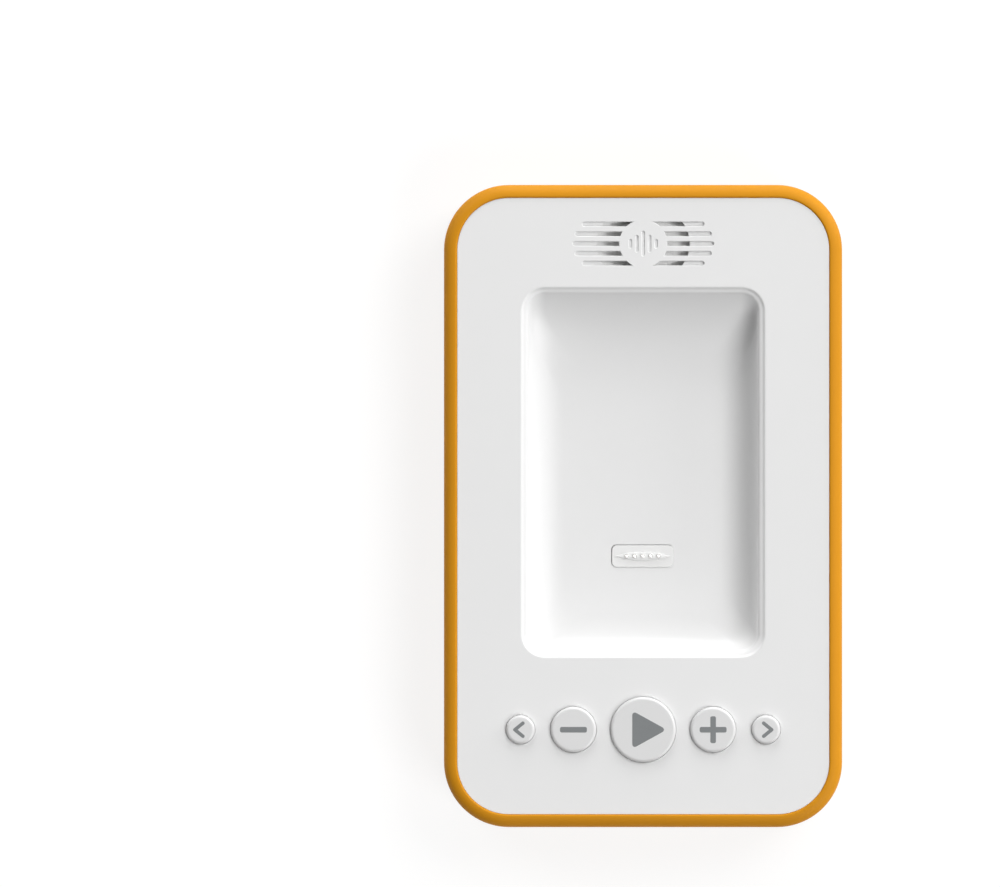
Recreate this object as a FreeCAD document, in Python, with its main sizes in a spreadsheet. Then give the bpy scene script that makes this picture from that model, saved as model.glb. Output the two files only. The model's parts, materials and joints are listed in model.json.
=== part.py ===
import FreeCAD, Part
import math
import os
import re

import Sketcher
from FreeCAD import Placement, Rotation, Vector

# Audio story player, lying on its four feet with its face up. Millimetres: +X is the player's right,
# +Y its speaker end and +Z up. The origin is below the middle of the back, on the surface it lies on.

SIZES = {
    # Orange tub
    "shell_corner": 16.2,
    "shell_depth": 22.0,
    "shell_wall": 3.3,
    "shell_floor": 2.4,
    "rim_round": 2.9,
    "back_round": 2.5,
    "cavity_round": 1.5,
    # Feet and the case screws under them
    "foot_radius": 4.15,
    "foot_height": 1.2,
    "foot_tip_radius": 1.3,
    "foot_seat_depth": 1.0,
    "foot_inset_x": 13.1,
    "foot_inset_y": 14.0,
    "shell_boss_radius": 4.0,
    "shell_boss_height": 5.4,
    "panel_boss_radius": 3.6,
    "case_screw_radius": 1.2,
    "case_head_radius": 2.3,
    "case_head_height": 1.7,
    "case_screw_bite": 8.0,
    # Pan heads, as shares of the head's own height and radius
    "pan_round_share": 0.4,
    "cross_reach_share": 1.2,
    "cross_width_share": 0.28,
    "cross_depth_share": 0.6,
    # Clearances
    "seam_gap": 0.14,
    "seat_gap": 0.1,
    "screw_gap": 0.25,
    "button_gap": 0.25,
    "pin_gap": 0.05,
    # White panel
    "panel_inset": 0.3,
    "panel_thickness": 2.4,
    "panel_edge_round": 0.4,
    "skirt_wall": 1.6,
    "skirt_depth": 6.0,
    # Cartridge pocket
    "pocket_width": 61.1,
    "pocket_length": 92.3,
    "pocket_margin": 19.05,
    "pocket_from_top": 25.45,
    "pocket_to_row": 17.85,
    "pocket_corner": 6.0,
    "pocket_lip": 2.2,
    "pocket_straight": 1.2,
    "pocket_depth": 9.0,
    "pocket_blend": 8.5,
    "pocket_floor_corner": 6.5,
    "pocket_wall": 1.8,
    "pocket_outer_round": 5.0,
    # Grille
    "grille_from_top": 14.7,
    "grille_pitch": 2.44,
    "slot_width": 1.15,
    "slot_half": 17.6,
    "slot_half_near": 17.0,
    "slot_half_outer": 15.2,
    "slot_depth": 0.5,
    "disc_radius": 6.0,
    "sound_length": 23.4,
    "sound_width": 17.0,
    # Generic sound-level bars on the disc and on the back
    "disc_bar_width": 0.9,
    "disc_bar_pitch": 1.6,
    "disc_bar_tall": 6.4,
    "disc_bar_step": 2.0,
    "disc_bar_depth": 0.3,
    "back_bar_width": 6.4,
    "back_bar_pitch": 10.6,
    "back_bar_tall": 38.0,
    "back_bar_step": 12.0,
    "back_bar_depth": 0.5,
    # Speaker
    "cloth_thickness": 0.3,
    "gasket_thickness": 0.8,
    "gasket_rim": 2.6,
    "speaker_length": 40.0,
    "speaker_width": 17.6,
    "flange_plate": 1.0,
    "ear_spread": 23.5,
    "ear_radius": 3.0,
    "ear_screw_radius": 0.8,
    "ear_head_radius": 1.6,
    "ear_head_height": 1.0,
    "ear_screw_bite": 2.4,
    "ear_boss_radius": 2.2,
    "basket_depth": 5.0,
    "basket_wall": 0.8,
    "basket_inset": 1.6,
    "cone_drop": 0.2,
    "cone_depth": 2.0,
    "cone_skin": 0.5,
    "surround_width": 2.0,
    "surround_height": 0.8,
    "surround_round": 0.64,
    "coil_length": 12.4,
    "coil_width": 6.4,
    "coil_wall": 0.5,
    "coil_height": 3.6,
    "coil_play": 0.5,
    "magnet_length": 22.0,
    "magnet_width": 11.6,
    "magnet_height": 3.4,
    "magnet_groove": 2.4,
    "magnet_corner": 1.4,
    # Buttons
    "row_from_bottom": 24.4,
    "play_radius": 8.2,
    "volume_radius": 5.75,
    "skip_radius": 3.65,
    "play_gap": 3.42,
    "skip_gap": 3.77,
    "button_proud": 1.1,
    "button_round": 0.8,
    "button_travel": 0.5,
    "flange_extra": 0.9,
    "button_flange": 0.8,
    "stem_radius": 1.6,
    "stem_length": 1.2,
    "symbol_depth": 0.4,
    "symbol_proud": 0.03,
    "play_side": 9.5,
    "play_back": 2.75,
    "play_reach": 5.85,
    "play_round": 0.75,
    "bar_length": 6.7,
    "bar_width": 1.4,
    "bar_end_round": 0.45,
    "chevron_arm": 3.44,
    "chevron_width": 0.87,
    "chevron_end_round": 0.42,
    "chevron_angle": 39.0,
    "chevron_shift": 0.4,
    # Key switches and main board
    "switch_side": 6.0,
    "switch_height": 3.4,
    "plunger_radius": 1.7,
    "plunger_proud": 1.1,
    "plunger_sunk": 1.8,
    "board_width": 70.0,
    "board_length": 32.5,
    "board_below_row": 1.65,
    "board_thickness": 1.6,
    "board_corner": 1.5,
    "board_screw_inset_x": 11.0,
    "board_screw_inset_y": 3.8,
    "board_boss_radius": 2.2,
    "board_screw_radius": 0.9,
    "board_head_radius": 1.8,
    "board_head_height": 1.2,
    "board_screw_bite": 4.5,
    "boss_clearance": 0.8,
    # Chips and parts under the main board, placed from its middle
    "main_chip_side": 9.0,
    "main_chip_height": 1.1,
    "main_chip_x": -3.0,
    "main_chip_y": -3.0,
    "memory_chip_width": 8.0,
    "memory_chip_length": 6.0,
    "memory_chip_height": 1.0,
    "memory_chip_y": 8.0,
    "small_chip_side": 4.0,
    "small_chip_height": 0.9,
    "amplifier_x": 10.0,
    "amplifier_y": 2.0,
    "charger_x": 22.0,
    "charger_y": -3.0,
    "capacitor_length": 2.0,
    "capacitor_width": 1.2,
    "capacitor_height": 0.9,
    "capacitor_gap": 1.5,
    "capacitor_pitch": 3.0,
    "inductor_side": 5.0,
    "inductor_height": 2.4,
    "inductor_corner": 1.2,
    "inductor_x": -22.0,
    "inductor_y": 3.0,
    # Sockets in the bottom wall
    "port_spread": 16.0,
    "port_recess": 2.2,
    "port_inset": 0.2,
    "usb_width": 8.94,
    "usb_height": 3.26,
    "usb_depth": 7.35,
    "usb_wall": 0.35,
    "usb_tongue_width": 6.7,
    "usb_tongue_height": 0.7,
    "usb_tongue_depth": 4.5,
    "usb_tongue_round": 0.17,
    "usb_recess_width": 12.8,
    "usb_recess_height": 7.0,
    "usb_opening_gap": 0.35,
    "jack_width": 7.0,
    "jack_height": 5.4,
    "jack_depth": 14.0,
    "jack_bore": 1.8,
    "jack_bore_depth": 12.5,
    "jack_recess_radius": 4.0,
    "jack_opening_radius": 2.2,
    # Contact block in the pocket floor, its pins and board
    "contact_from_pocket_end": 25.15,
    "block_width": 15.3,
    "block_length": 5.5,
    "block_corner": 1.2,
    "block_proud": 0.2,
    "block_round": 0.25,
    "block_flange_width": 17.6,
    "block_flange_length": 7.6,
    "block_flange": 0.8,
    "ridge_half": 7.0,
    "ridge_rise": 1.1,
    "ridge_height": 0.25,
    "pin_pitch": 2.0,
    "pin_radius": 0.45,
    "pin_proud": 0.7,
    "pin_travel": 0.7,
    "pin_body": 2.2,
    "barrel_radius": 0.75,
    "barrel_floor": 0.3,
    "contact_board_width": 24.4,
    "contact_board_length": 8.6,
    "contact_board_thickness": 1.0,
    "contact_board_corner": 0.75,
    "contact_screw_spread": 10.7,
    "contact_boss_radius": 1.3,
    "contact_screw_radius": 0.55,
    "contact_head_radius": 1.1,
    "contact_head_height": 0.7,
    "contact_screw_bite": 1.6,
    # Magnets under the pocket floor
    "hold_magnet_radius": 4.0,
    "hold_magnet_height": 2.0,
    "hold_magnet_spread": 20.0,
    "magnet_cup_wall": 1.1,
    # Battery, in its ribbed bay
    "battery_width": 38.0,
    "battery_length": 56.0,
    "battery_thickness": 6.0,
    "battery_corner": 2.0,
    "battery_edge_round": 1.0,
    "battery_tab_offset": 4.75,
    "battery_pad_thickness": 0.5,
    "battery_clearance": 3.2,
    "bay_gap": 0.6,
    "bay_wall": 1.2,
    "bay_height": 3.0,
    "gate_width": 19.0,
    "gate_corner": 0.3,
    # Leads and plugs
    "lead_radius": 0.6,
    "lead_spacing": 1.9,
    "lead_channel": 37.5,
    "lead_tail_inset": 4.5,
    "lead_tail_length": 6.0,
    "lead_straight": 9.0,
    "speaker_lead_drop": 3.0,
    "speaker_lead_rise": 1.5,
    "speaker_lead_reach": 5.0,
    "speaker_lead_bend": 14.0,
    "battery_socket_width": 7.4,
    "battery_socket_length": 5.0,
    "battery_socket_height": 3.2,
    "battery_socket_offset": 12.5,
    "battery_plug_length": 4.0,
    "cable_width": 10.0,
    "cable_thickness": 0.5,
    "cable_overlap": 3.0,
    "cable_straight": 8.0,
}

doc = FreeCAD.newDocument("StoryPlayer")
sheet = doc.addObject("Spreadsheet::Sheet", "Size")
for row, (name, number) in enumerate(SIZES.items(), start=1):
    sheet.set(f"A{row}", name)
    sheet.set(f"B{row}", str(number))
    sheet.setAlias(f"B{row}", name)
doc.recompute()

# Heights and places that several pieces share, worked out from the sizes
SHELL_WIDTH = "(pocket_width + 2 * pocket_margin)"
SHELL_LENGTH = "(pocket_from_top + pocket_length + pocket_to_row + row_from_bottom)"
BACK = "foot_height"
FLOOR = "(foot_height + shell_floor)"
CROWN = "(foot_height + shell_depth)"
FACE = f"({CROWN} - panel_inset)"
UNDER = f"({FACE} - panel_thickness)"
POCKET_FLOOR = f"({FACE} - pocket_depth)"
POCKET_UNDER = f"({POCKET_FLOOR} - pocket_wall)"
BOSS_MEET = f"({FLOOR} + shell_boss_height)"
FLANGE_TOP = f"({UNDER} - seat_gap)"
STEM_END = f"({FLANGE_TOP} - button_flange - stem_length)"
SWITCH_TOP = f"({STEM_END} - pin_gap - plunger_proud)"
BOARD_TOP = f"({SWITCH_TOP} - switch_height)"
BOARD_UNDER = f"({BOARD_TOP} - board_thickness)"
FOOT_X = f"({SHELL_WIDTH} / 2 - foot_inset_x)"
FOOT_Y = f"({SHELL_LENGTH} / 2 - foot_inset_y)"
PANEL_WIDTH = f"({SHELL_WIDTH} - 2 * (shell_wall + seam_gap))"
PANEL_LENGTH = f"({SHELL_LENGTH} - 2 * (shell_wall + seam_gap))"
PANEL_CORNER = "(shell_corner - shell_wall - seam_gap)"
GRILLE_Y = f"({SHELL_LENGTH} / 2 - grille_from_top)"
POCKET_Y = f"({SHELL_LENGTH} / 2 - pocket_from_top - pocket_length / 2)"
ROW_Y = f"(row_from_bottom - {SHELL_LENGTH} / 2)"
VOLUME_X = "(play_radius + play_gap + volume_radius)"
SKIP_X = f"({VOLUME_X} + volume_radius + skip_gap + skip_radius)"
BOARD_Y = f"({ROW_Y} - board_below_row)"
CONTACT_Y = f"({POCKET_Y} - pocket_length / 2 + contact_from_pocket_end)"
BATTERY_Y = f"({CONTACT_Y} + contact_board_length / 2 + battery_clearance + battery_length / 2)"
SPEAKER_FACE = f"({UNDER} - cloth_thickness - gasket_thickness)"
CONE_TOP = f"({SPEAKER_FACE} - cone_drop)"
BASKET_END = f"({SPEAKER_FACE} - basket_depth)"
PORT_Y = f"(shell_wall + port_inset - {SHELL_LENGTH} / 2)"
CONTACT_BOARD_TOP = f"({POCKET_UNDER} - seat_gap - block_flange)"
CORNERS = [(-1, 1), (1, 1), (-1, -1), (1, -1)]
CORNER_NAMES = ["top_left", "top_right", "bottom_left", "bottom_right"]
SIDES = (-1, 1)
HAND_NAMES = ("left", "right")
CLOSE = 1e-4
TURN_SHARE = 0.45
VOLUME_SLACK = 0.01
BLEND_STEPS = 6
nodes = {}


def formula(text):
    """The text with every size's name read from the sheet."""
    return re.sub(r"[a-z]+(?:_[a-z]+)+", lambda word: "Size." + word.group(), str(text))


def value(text):
    """The number that a formula gives."""
    return float(sheet.evalExpression(formula(text)))


def bind(thing, **texts):
    for path, text in texts.items():
        thing.setExpression(path, formula(text))


def place(thing, x=0, y=0, z=0, path="Placement"):
    for axis, text in zip("xyz", (x, y, z)):
        thing.setExpression(f"{path}.Base.{axis}", formula(text))


# Sketches

def sketch_on(body, plane, x=0, y=0, z=0, turn=0):
    """An empty sketch on one of the body's own planes, moved in that plane's axes and turned."""
    sketch = body.newObject("Sketcher::SketchObject", "Sketch")
    support = next(datum for datum in body.Origin.OriginFeatures if datum.Role == plane)
    sketch.AttachmentSupport = [(support, "")]
    sketch.MapMode = "FlatFace"
    sketch.AttachmentOffset = Placement(Vector(), Rotation(Vector(0, 0, 1), value(turn)))
    place(sketch, x, y, z, "AttachmentOffset")
    return sketch


def constrain(sketch, kind, *where, size):
    """Adds a constraint whose number comes from a formula."""
    index = sketch.addConstraint(Sketcher.Constraint(kind, *where, value(size)))
    sketch.setExpression(f"Constraints[{index}]", formula(size))


def arc(x, y, radius, start, end):
    turned = Part.Circle(Vector(x, y, 0), Vector(0, 0, 1), radius)
    return Part.ArcOfCircle(turned, math.radians(start), math.radians(end))


def rounded_rectangle(sketch, width, length, corner, y=0):
    """Adds a rounded rectangle centred on the sketch's Y axis."""
    radius = value(corner)
    right = value(width) / 2 - radius
    top = value(length) / 2 - radius
    first = sketch.GeometryCount
    lines = [
        Part.LineSegment(Vector(-right, -top - radius), Vector(right, -top - radius)),
        Part.LineSegment(Vector(right + radius, -top), Vector(right + radius, top)),
        Part.LineSegment(Vector(right, top + radius), Vector(-right, top + radius)),
        Part.LineSegment(Vector(-right - radius, top), Vector(-right - radius, -top)),
    ]
    arcs = [
        arc(right, -top, radius, -90, 0),
        arc(right, top, radius, 0, 90),
        arc(-right, top, radius, 90, 180),
        arc(-right, -top, radius, 180, 270),
    ]
    for shape in lines + arcs:
        shape.translate(Vector(0, value(y), 0))
    sketch.addGeometry(lines + arcs, False)
    for side in range(4):
        line = first + side
        turned = line + 4
        following = first + (side + 1) % 4
        sketch.addConstraint(Sketcher.Constraint("Tangent", line, 2, turned, 1))
        sketch.addConstraint(Sketcher.Constraint("Tangent", turned, 2, following, 1))
        sketch.addConstraint(Sketcher.Constraint(("Horizontal", "Vertical")[side % 2], line))
        if side:
            sketch.addConstraint(Sketcher.Constraint("Equal", first + 4, turned))
    constrain(sketch, "Radius", first + 4, size=corner)
    constrain(sketch, "DistanceX", -1, 1, first + 5, 3, size=f"{width} / 2 - {corner}")
    constrain(sketch, "DistanceY", -1, 1, first + 5, 3, size=f"{y} + {length} / 2 - {corner}")
    constrain(sketch, "DistanceX", -1, 1, first + 7, 3, size=f"{corner} - {width} / 2")
    constrain(sketch, "DistanceY", -1, 1, first + 7, 3, size=f"{y} + {corner} - {length} / 2")


def stadium(sketch, length, width, y=0):
    """Adds a slot with round ends along the sketch's X axis, centred on its Y axis."""
    radius = value(width) / 2
    reach = value(length) / 2 - radius
    first = sketch.GeometryCount
    shape = [
        Part.LineSegment(Vector(-reach, -radius), Vector(reach, -radius)),
        arc(reach, 0, radius, -90, 90),
        Part.LineSegment(Vector(reach, radius), Vector(-reach, radius)),
        arc(-reach, 0, radius, 90, 270),
    ]
    for part in shape:
        part.translate(Vector(0, value(y), 0))
    sketch.addGeometry(shape, False)
    for side in range(4):
        following = first + (side + 1) % 4
        sketch.addConstraint(Sketcher.Constraint("Tangent", first + side, 2, following, 1))
    sketch.addConstraint(Sketcher.Constraint("Horizontal", first))
    constrain(sketch, "Radius", first + 1, size=f"{width} / 2")
    constrain(sketch, "DistanceX", -1, 1, first + 1, 3, size=f"({length} - {width}) / 2")
    constrain(sketch, "DistanceX", -1, 1, first + 3, 3, size=f"({width} - {length}) / 2")
    constrain(sketch, "DistanceY", -1, 1, first + 1, 3, size=y)


def circle(sketch, radius, x=0, y=0):
    index = sketch.GeometryCount
    sketch.addGeometry(Part.Circle(Vector(value(x), value(y), 0), Vector(0, 0, 1), value(radius)), False)
    constrain(sketch, "Radius", index, size=radius)
    constrain(sketch, "DistanceX", -1, 1, index, 3, size=x)
    constrain(sketch, "DistanceY", -1, 1, index, 3, size=y)


def polygon(sketch, points):
    """Adds a closed outline of straight lines, with every corner placed by formulas."""
    drawn = [Vector(value(x), value(y), 0) for x, y in points]
    count = len(points)
    for index in range(count):
        sketch.addGeometry(Part.LineSegment(drawn[index], drawn[(index + 1) % count]), False)
    for index, (x, y) in enumerate(points):
        sketch.addConstraint(Sketcher.Constraint("Coincident", index, 2, (index + 1) % count, 1))
        constrain(sketch, "DistanceX", -1, 1, index, 1, size=x)
        constrain(sketch, "DistanceY", -1, 1, index, 1, size=y)


def lens(sketch, half, rise):
    """Adds two arcs that meet in points on the X axis."""
    reach = value(half)
    radius = (reach ** 2 + value(rise) ** 2) / (2 * value(rise))
    spread = math.degrees(math.asin(reach / radius))
    drop = radius - value(rise)
    sketch.addGeometry([arc(0, -drop, radius, 90 - spread, 90 + spread),
                        arc(0, drop, radius, 270 - spread, 270 + spread)], False)
    sketch.addConstraint(Sketcher.Constraint("Coincident", 0, 2, 1, 1))
    sketch.addConstraint(Sketcher.Constraint("Coincident", 1, 2, 0, 1))
    sketch.addConstraint(Sketcher.Constraint("Equal", 0, 1))
    constrain(sketch, "DistanceX", -1, 1, 0, 1, size=half)
    constrain(sketch, "DistanceY", -1, 1, 0, 1, size=0)
    constrain(sketch, "DistanceX", -1, 1, 1, 1, size=f"-{half}")
    constrain(sketch, "DistanceY", -1, 1, 1, 1, size=0)
    constrain(sketch, "Radius", 0, size=f"({half} ^ 2 + {rise} ^ 2) / (2 * {rise})")


# Features of a body

def new_body(label):
    body = doc.addObject("PartDesign::Body", label)
    nodes[label] = body
    return body


def settle(body, feature, grows, before):
    """Recomputes a feature and stops if it moved the volume the wrong way."""
    doc.recompute()
    change = feature.Shape.Volume - before
    if (change <= 0) if grows else (change >= 0):
        raise RuntimeError(f"{body.Label}: {feature.Name} changed the volume by {change:.3f}")


def volume_of(body):
    return 0.0 if body.Shape.isNull() else body.Shape.Volume


def pad(body, sketch, length, up=True):
    before = volume_of(body)
    feature = body.newObject("PartDesign::Pad", "Pad")
    feature.Profile = sketch
    feature.Reversed = not up
    bind(feature, Length=length)
    settle(body, feature, True, before)


def pocket(body, sketch, depth, up=False):
    """Cuts the sketch against its normal, or along it where up is set."""
    before = volume_of(body)
    feature = body.newObject("PartDesign::Pocket", "Pocket")
    feature.Profile = sketch
    feature.Reversed = up
    bind(feature, Length=depth)
    settle(body, feature, False, before)


def loft(body, sketches, cuts=False):
    before = volume_of(body)
    kind = "SubtractiveLoft" if cuts else "AdditiveLoft"
    feature = body.newObject(f"PartDesign::{kind}", kind)
    feature.Profile = sketches[0]
    feature.Sections = sketches[1:]
    settle(body, feature, not cuts, before)


def fillet(body, radius, edges):
    base = body.Tip
    feature = body.newObject("PartDesign::Fillet", "Fillet")
    feature.Base = (base, edges)
    bind(feature, Radius=radius)
    doc.recompute()


def level_edges(body, level, within=None):
    """Names of the body's edges in the plane z = level, and inside a box of (x, y, half x, half y)."""
    height = value(level)
    names = []
    for index, edge in enumerate(body.Shape.Edges, start=1):
        box = edge.BoundBox
        if abs(box.ZMin - height) > CLOSE or abs(box.ZMax - height) > CLOSE:
            continue
        if within:
            x, y, half_x, half_y = (value(text) for text in within)
            if abs(box.Center.x - x) > half_x or abs(box.Center.y - y) > half_y:
                continue
        names.append(f"Edge{index}")
    return names


def upright_edges(body, low, high):
    """Names of the body's vertical edges between two heights."""
    bottom = value(low)
    top = value(high)
    names = []
    for index, edge in enumerate(body.Shape.Edges, start=1):
        box = edge.BoundBox
        if abs(box.ZMin - bottom) < CLOSE and abs(box.ZMax - top) < CLOSE and box.XLength < CLOSE:
            names.append(f"Edge{index}")
    return names


# Primitives

def primitive(kind, label, x, y, z, **sizes):
    thing = doc.addObject(f"Part::{kind}", label)
    bind(thing, **sizes)
    place(thing, x, y, z)
    return thing


def block(label, x, y, z, width, length, height):
    """A box centred on x and y, standing on z."""
    return primitive("Box", label, f"{x} - {width} / 2", f"{y} - {length} / 2", z,
                     Length=width, Width=length, Height=height)


def combine(kind, label, **links):
    thing = doc.addObject(f"Part::{kind}", label)
    for name, linked in links.items():
        setattr(thing, name, linked)
    return thing


def rounded(label, base, radius, pick):
    """The base with the edges that pick accepts rounded."""
    doc.recompute()
    thing = doc.addObject("Part::Fillet", label)
    thing.Base = base
    size = value(radius)
    picked = [index for index, edge in enumerate(base.Shape.Edges, start=1) if pick(edge)]
    thing.Edges = [(index, size, size) for index in picked]
    return thing


def group(label, members):
    nodes[label] = combine("Compound", label, Links=members)


def screw(label, x, y, seat, radius, head_radius, head_height, length):
    """A screw driven upwards, its pan head under the seat, with a cross recess in the head."""
    head = primitive("Cylinder", f"{label}_head", x, y, f"{seat} - {head_height}",
                     Radius=head_radius, Height=head_height)
    below = value(seat) - CLOSE
    pan = rounded(f"{label}_pan", head, f"{head_height} * pan_round_share",
                  lambda edge: edge.BoundBox.ZMax < below and edge.BoundBox.ZLength < CLOSE)
    shank = primitive("Cylinder", f"{label}_shank", x, y, seat, Radius=radius, Height=length)
    whole = combine("Fuse", f"{label}_whole", Base=pan, Tool=shank)
    reach = f"{head_radius} * cross_reach_share"
    width = f"{head_radius} * cross_width_share"
    depth = f"{head_height} * cross_depth_share"
    low = f"{seat} - {head_height}"
    along = block(f"{label}_slot_along", x, y, low, reach, width, depth)
    across = block(f"{label}_slot_across", x, y, low, width, reach, depth)
    cross = combine("Fuse", f"{label}_cross", Base=along, Tool=across)
    return combine("Cut", label, Base=whole, Tool=cross)


# Leads and cables: straight runs joined by tangent arcs

def lead_path(points):
    """The wire through the points, each turn rounded as far as the shorter of its two runs allows."""
    edges = []
    start = points[0]
    for before, corner, after in zip(points, points[1:], points[2:]):
        back = before.sub(corner)
        ahead = after.sub(corner)
        trim = TURN_SHARE * min(back.Length, ahead.Length)
        back.normalize()
        ahead.normalize()
        enter = corner + back * trim
        leave = corner + ahead * trim
        inward = back + ahead
        half_turn = (math.pi - back.getAngle(ahead)) / 2
        radius = trim / math.tan(half_turn)
        inward.normalize()
        middle = corner + inward * (math.hypot(radius, trim) - radius)
        edges.append(Part.LineSegment(start, enter).toShape())
        edges.append(Part.Arc(enter, middle, leave).toShape())
        start = leave
    edges.append(Part.LineSegment(start, points[-1]).toShape())
    return Part.Wire(edges)


def sweep(label, points, profile, area, flat=False):
    """A solid of constant section along the path, its volume compared with section times length."""
    path = lead_path(points)
    shell = Part.BRepOffsetAPI.MakePipeShell(path)
    if flat:
        shell.setBiNormalMode(Vector(1, 0, 0))
    else:
        shell.setFrenetMode(True)
    shell.add(profile)
    shell.build()
    shell.makeSolid()
    solid = shell.shape()
    expected = area * path.Length
    if abs(solid.Volume - expected) > VOLUME_SLACK * expected:
        raise RuntimeError(f"{label}: volume {solid.Volume:.2f}, section times length {expected:.2f}")
    thing = doc.addObject("Part::Feature", label)
    thing.Shape = solid
    nodes[label] = thing


def round_lead(label, points):
    radius = value("lead_radius")
    along = points[1].sub(points[0])
    section = Part.Wire([Part.Circle(points[0], along, radius).toShape()])
    sweep(label, points, section, math.pi * radius ** 2)


def spot(x, y, z):
    return Vector(value(x), value(y), value(z))


# Shell

def level_bars(sketch, width, pitch, tall, fall):
    """Adds five round-ended bars of a plain sound-level figure; the sketch is turned upright."""
    for step in range(-2, 3):
        stadium(sketch, f"({tall} - {abs(step)} * {fall})", width, f"({step} * {pitch})")


def corner_circles(body, level, radius):
    sketch = sketch_on(body, "XY_Plane", z=level)
    for side, end in CORNERS:
        circle(sketch, radius, f"{side} * {FOOT_X}", f"{end} * {FOOT_Y}")
    return sketch


def make_back_shell():
    body = new_body("back_shell")
    sketch = sketch_on(body, "XY_Plane", z=BACK)
    rounded_rectangle(sketch, SHELL_WIDTH, SHELL_LENGTH, "shell_corner")
    pad(body, sketch, "shell_depth")
    fillet(body, "rim_round", level_edges(body, CROWN))
    fillet(body, "back_round", level_edges(body, BACK))
    sketch = sketch_on(body, "XY_Plane", z=BACK, turn=90)
    level_bars(sketch, "back_bar_width", "back_bar_pitch", "back_bar_tall", "back_bar_step")
    pocket(body, sketch, "back_bar_depth", up=True)
    sketch = sketch_on(body, "XY_Plane", z=CROWN)
    rounded_rectangle(sketch, f"({SHELL_WIDTH} - 2 * shell_wall)", f"({SHELL_LENGTH} - 2 * shell_wall)",
                      "(shell_corner - shell_wall)")
    pocket(body, sketch, "shell_depth - shell_floor")
    fillet(body, "cavity_round", level_edges(body, FLOOR))
    pad(body, corner_circles(body, FLOOR, "shell_boss_radius"), "shell_boss_height")
    pocket(body, corner_circles(body, BACK, "(foot_radius + seat_gap)"), "foot_seat_depth", up=True)
    pocket(body, corner_circles(body, BACK, "(case_head_radius + screw_gap)"),
           "foot_seat_depth + case_head_height + seat_gap", up=True)
    pocket(body, corner_circles(body, BACK, "(case_screw_radius + screw_gap)"),
           "shell_floor + shell_boss_height", up=True)
    make_battery_bay(body)
    make_ports(body)


def make_battery_bay(body):
    inner_width = "(battery_width + 2 * bay_gap)"
    inner_length = "(battery_length + 2 * bay_gap)"
    sketch = sketch_on(body, "XY_Plane", 0, BATTERY_Y, FLOOR)
    rounded_rectangle(sketch, inner_width, inner_length, "battery_corner")
    rounded_rectangle(sketch, f"({inner_width} + 2 * bay_wall)", f"({inner_length} + 2 * bay_wall)",
                      "(battery_corner + bay_wall)")
    pad(body, sketch, "bay_height")
    gate = sketch_on(body, "XY_Plane", 0, f"{BATTERY_Y} - {inner_length} / 2 - bay_wall / 2", FLOOR)
    rounded_rectangle(gate, "gate_width", "(2 * bay_wall)", "gate_corner")
    pocket(body, gate, "bay_height", up=True)


USB_Z = f"({BOARD_UNDER} - usb_height / 2)"
JACK_Z = f"({BOARD_UNDER} - jack_height / 2)"


def make_ports(body):
    """Recesses and openings in the bottom wall, in front of the two sockets."""
    outside = f"{SHELL_LENGTH} / 2"
    wall = "(shell_wall - port_recess)"
    sketch = sketch_on(body, "XZ_Plane", "port_spread", USB_Z, outside)
    stadium(sketch, "usb_recess_width", "usb_recess_height")
    pocket(body, sketch, "port_recess")
    sketch = sketch_on(body, "XZ_Plane", "port_spread", USB_Z, f"{outside} - port_recess")
    stadium(sketch, "(usb_width + 2 * usb_opening_gap)", "(usb_height + 2 * usb_opening_gap)")
    pocket(body, sketch, wall)
    sketch = sketch_on(body, "XZ_Plane", "-port_spread", JACK_Z, outside)
    circle(sketch, "jack_recess_radius")
    pocket(body, sketch, "port_recess")
    sketch = sketch_on(body, "XZ_Plane", "-port_spread", JACK_Z, f"{outside} - port_recess")
    circle(sketch, "jack_opening_radius")
    pocket(body, sketch, wall)


def make_feet():
    """Domed rubber feet, each with a small flat tip, glued into a seat in the back."""
    ball_height = "((foot_radius ^ 2 + foot_height ^ 2 - foot_tip_radius ^ 2) / (2 * foot_height))"
    for name, (side, end) in zip(CORNER_NAMES, CORNERS):
        x = f"{side} * {FOOT_X}"
        y = f"{end} * {FOOT_Y}"
        ball = primitive("Sphere", f"foot_{name}_ball", x, y, ball_height,
                         Radius=f"sqrt({ball_height} ^ 2 + foot_tip_radius ^ 2)")
        barrel = primitive("Cylinder", f"foot_{name}_barrel", x, y, 0,
                           Radius="foot_radius", Height="foot_height + foot_seat_depth")
        nodes[f"foot_{name}"] = combine("Common", f"foot_{name}", Base=ball, Tool=barrel)


def make_case_screws():
    seat = f"({BACK} + foot_seat_depth + case_head_height + seat_gap)"
    length = f"({BOSS_MEET} + case_screw_bite - {seat})"
    group("case_screws", [
        screw(f"case_screw_{name}", f"{side} * {FOOT_X}", f"{end} * {FOOT_Y}", seat,
              "case_screw_radius", "case_head_radius", "case_head_height", length)
        for name, (side, end) in zip(CORNER_NAMES, CORNERS)])


# Panel

BUTTONS = [
    ("previous", "skip_radius", f"-{SKIP_X}"),
    ("volume_down", "volume_radius", f"-{VOLUME_X}"),
    ("play", "play_radius", "0"),
    ("volume_up", "volume_radius", VOLUME_X),
    ("next", "skip_radius", SKIP_X),
]
WALL_WIDTH = "(pocket_width - 2 * pocket_lip)"
WALL_LENGTH = "(pocket_length - 2 * pocket_lip)"
WALL_CORNER = "(pocket_corner - pocket_lip)"
WALL_END = f"({FACE} - pocket_lip - pocket_straight)"
BOARD_SCREW_X = "(board_width / 2 - board_screw_inset_x)"
BOARD_SCREW_Y = "(board_length / 2 - board_screw_inset_y)"


def board_screw_places():
    return [(f"{side} * {BOARD_SCREW_X}", f"{BOARD_Y} + {end} * {BOARD_SCREW_Y}") for side, end in CORNERS]


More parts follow.
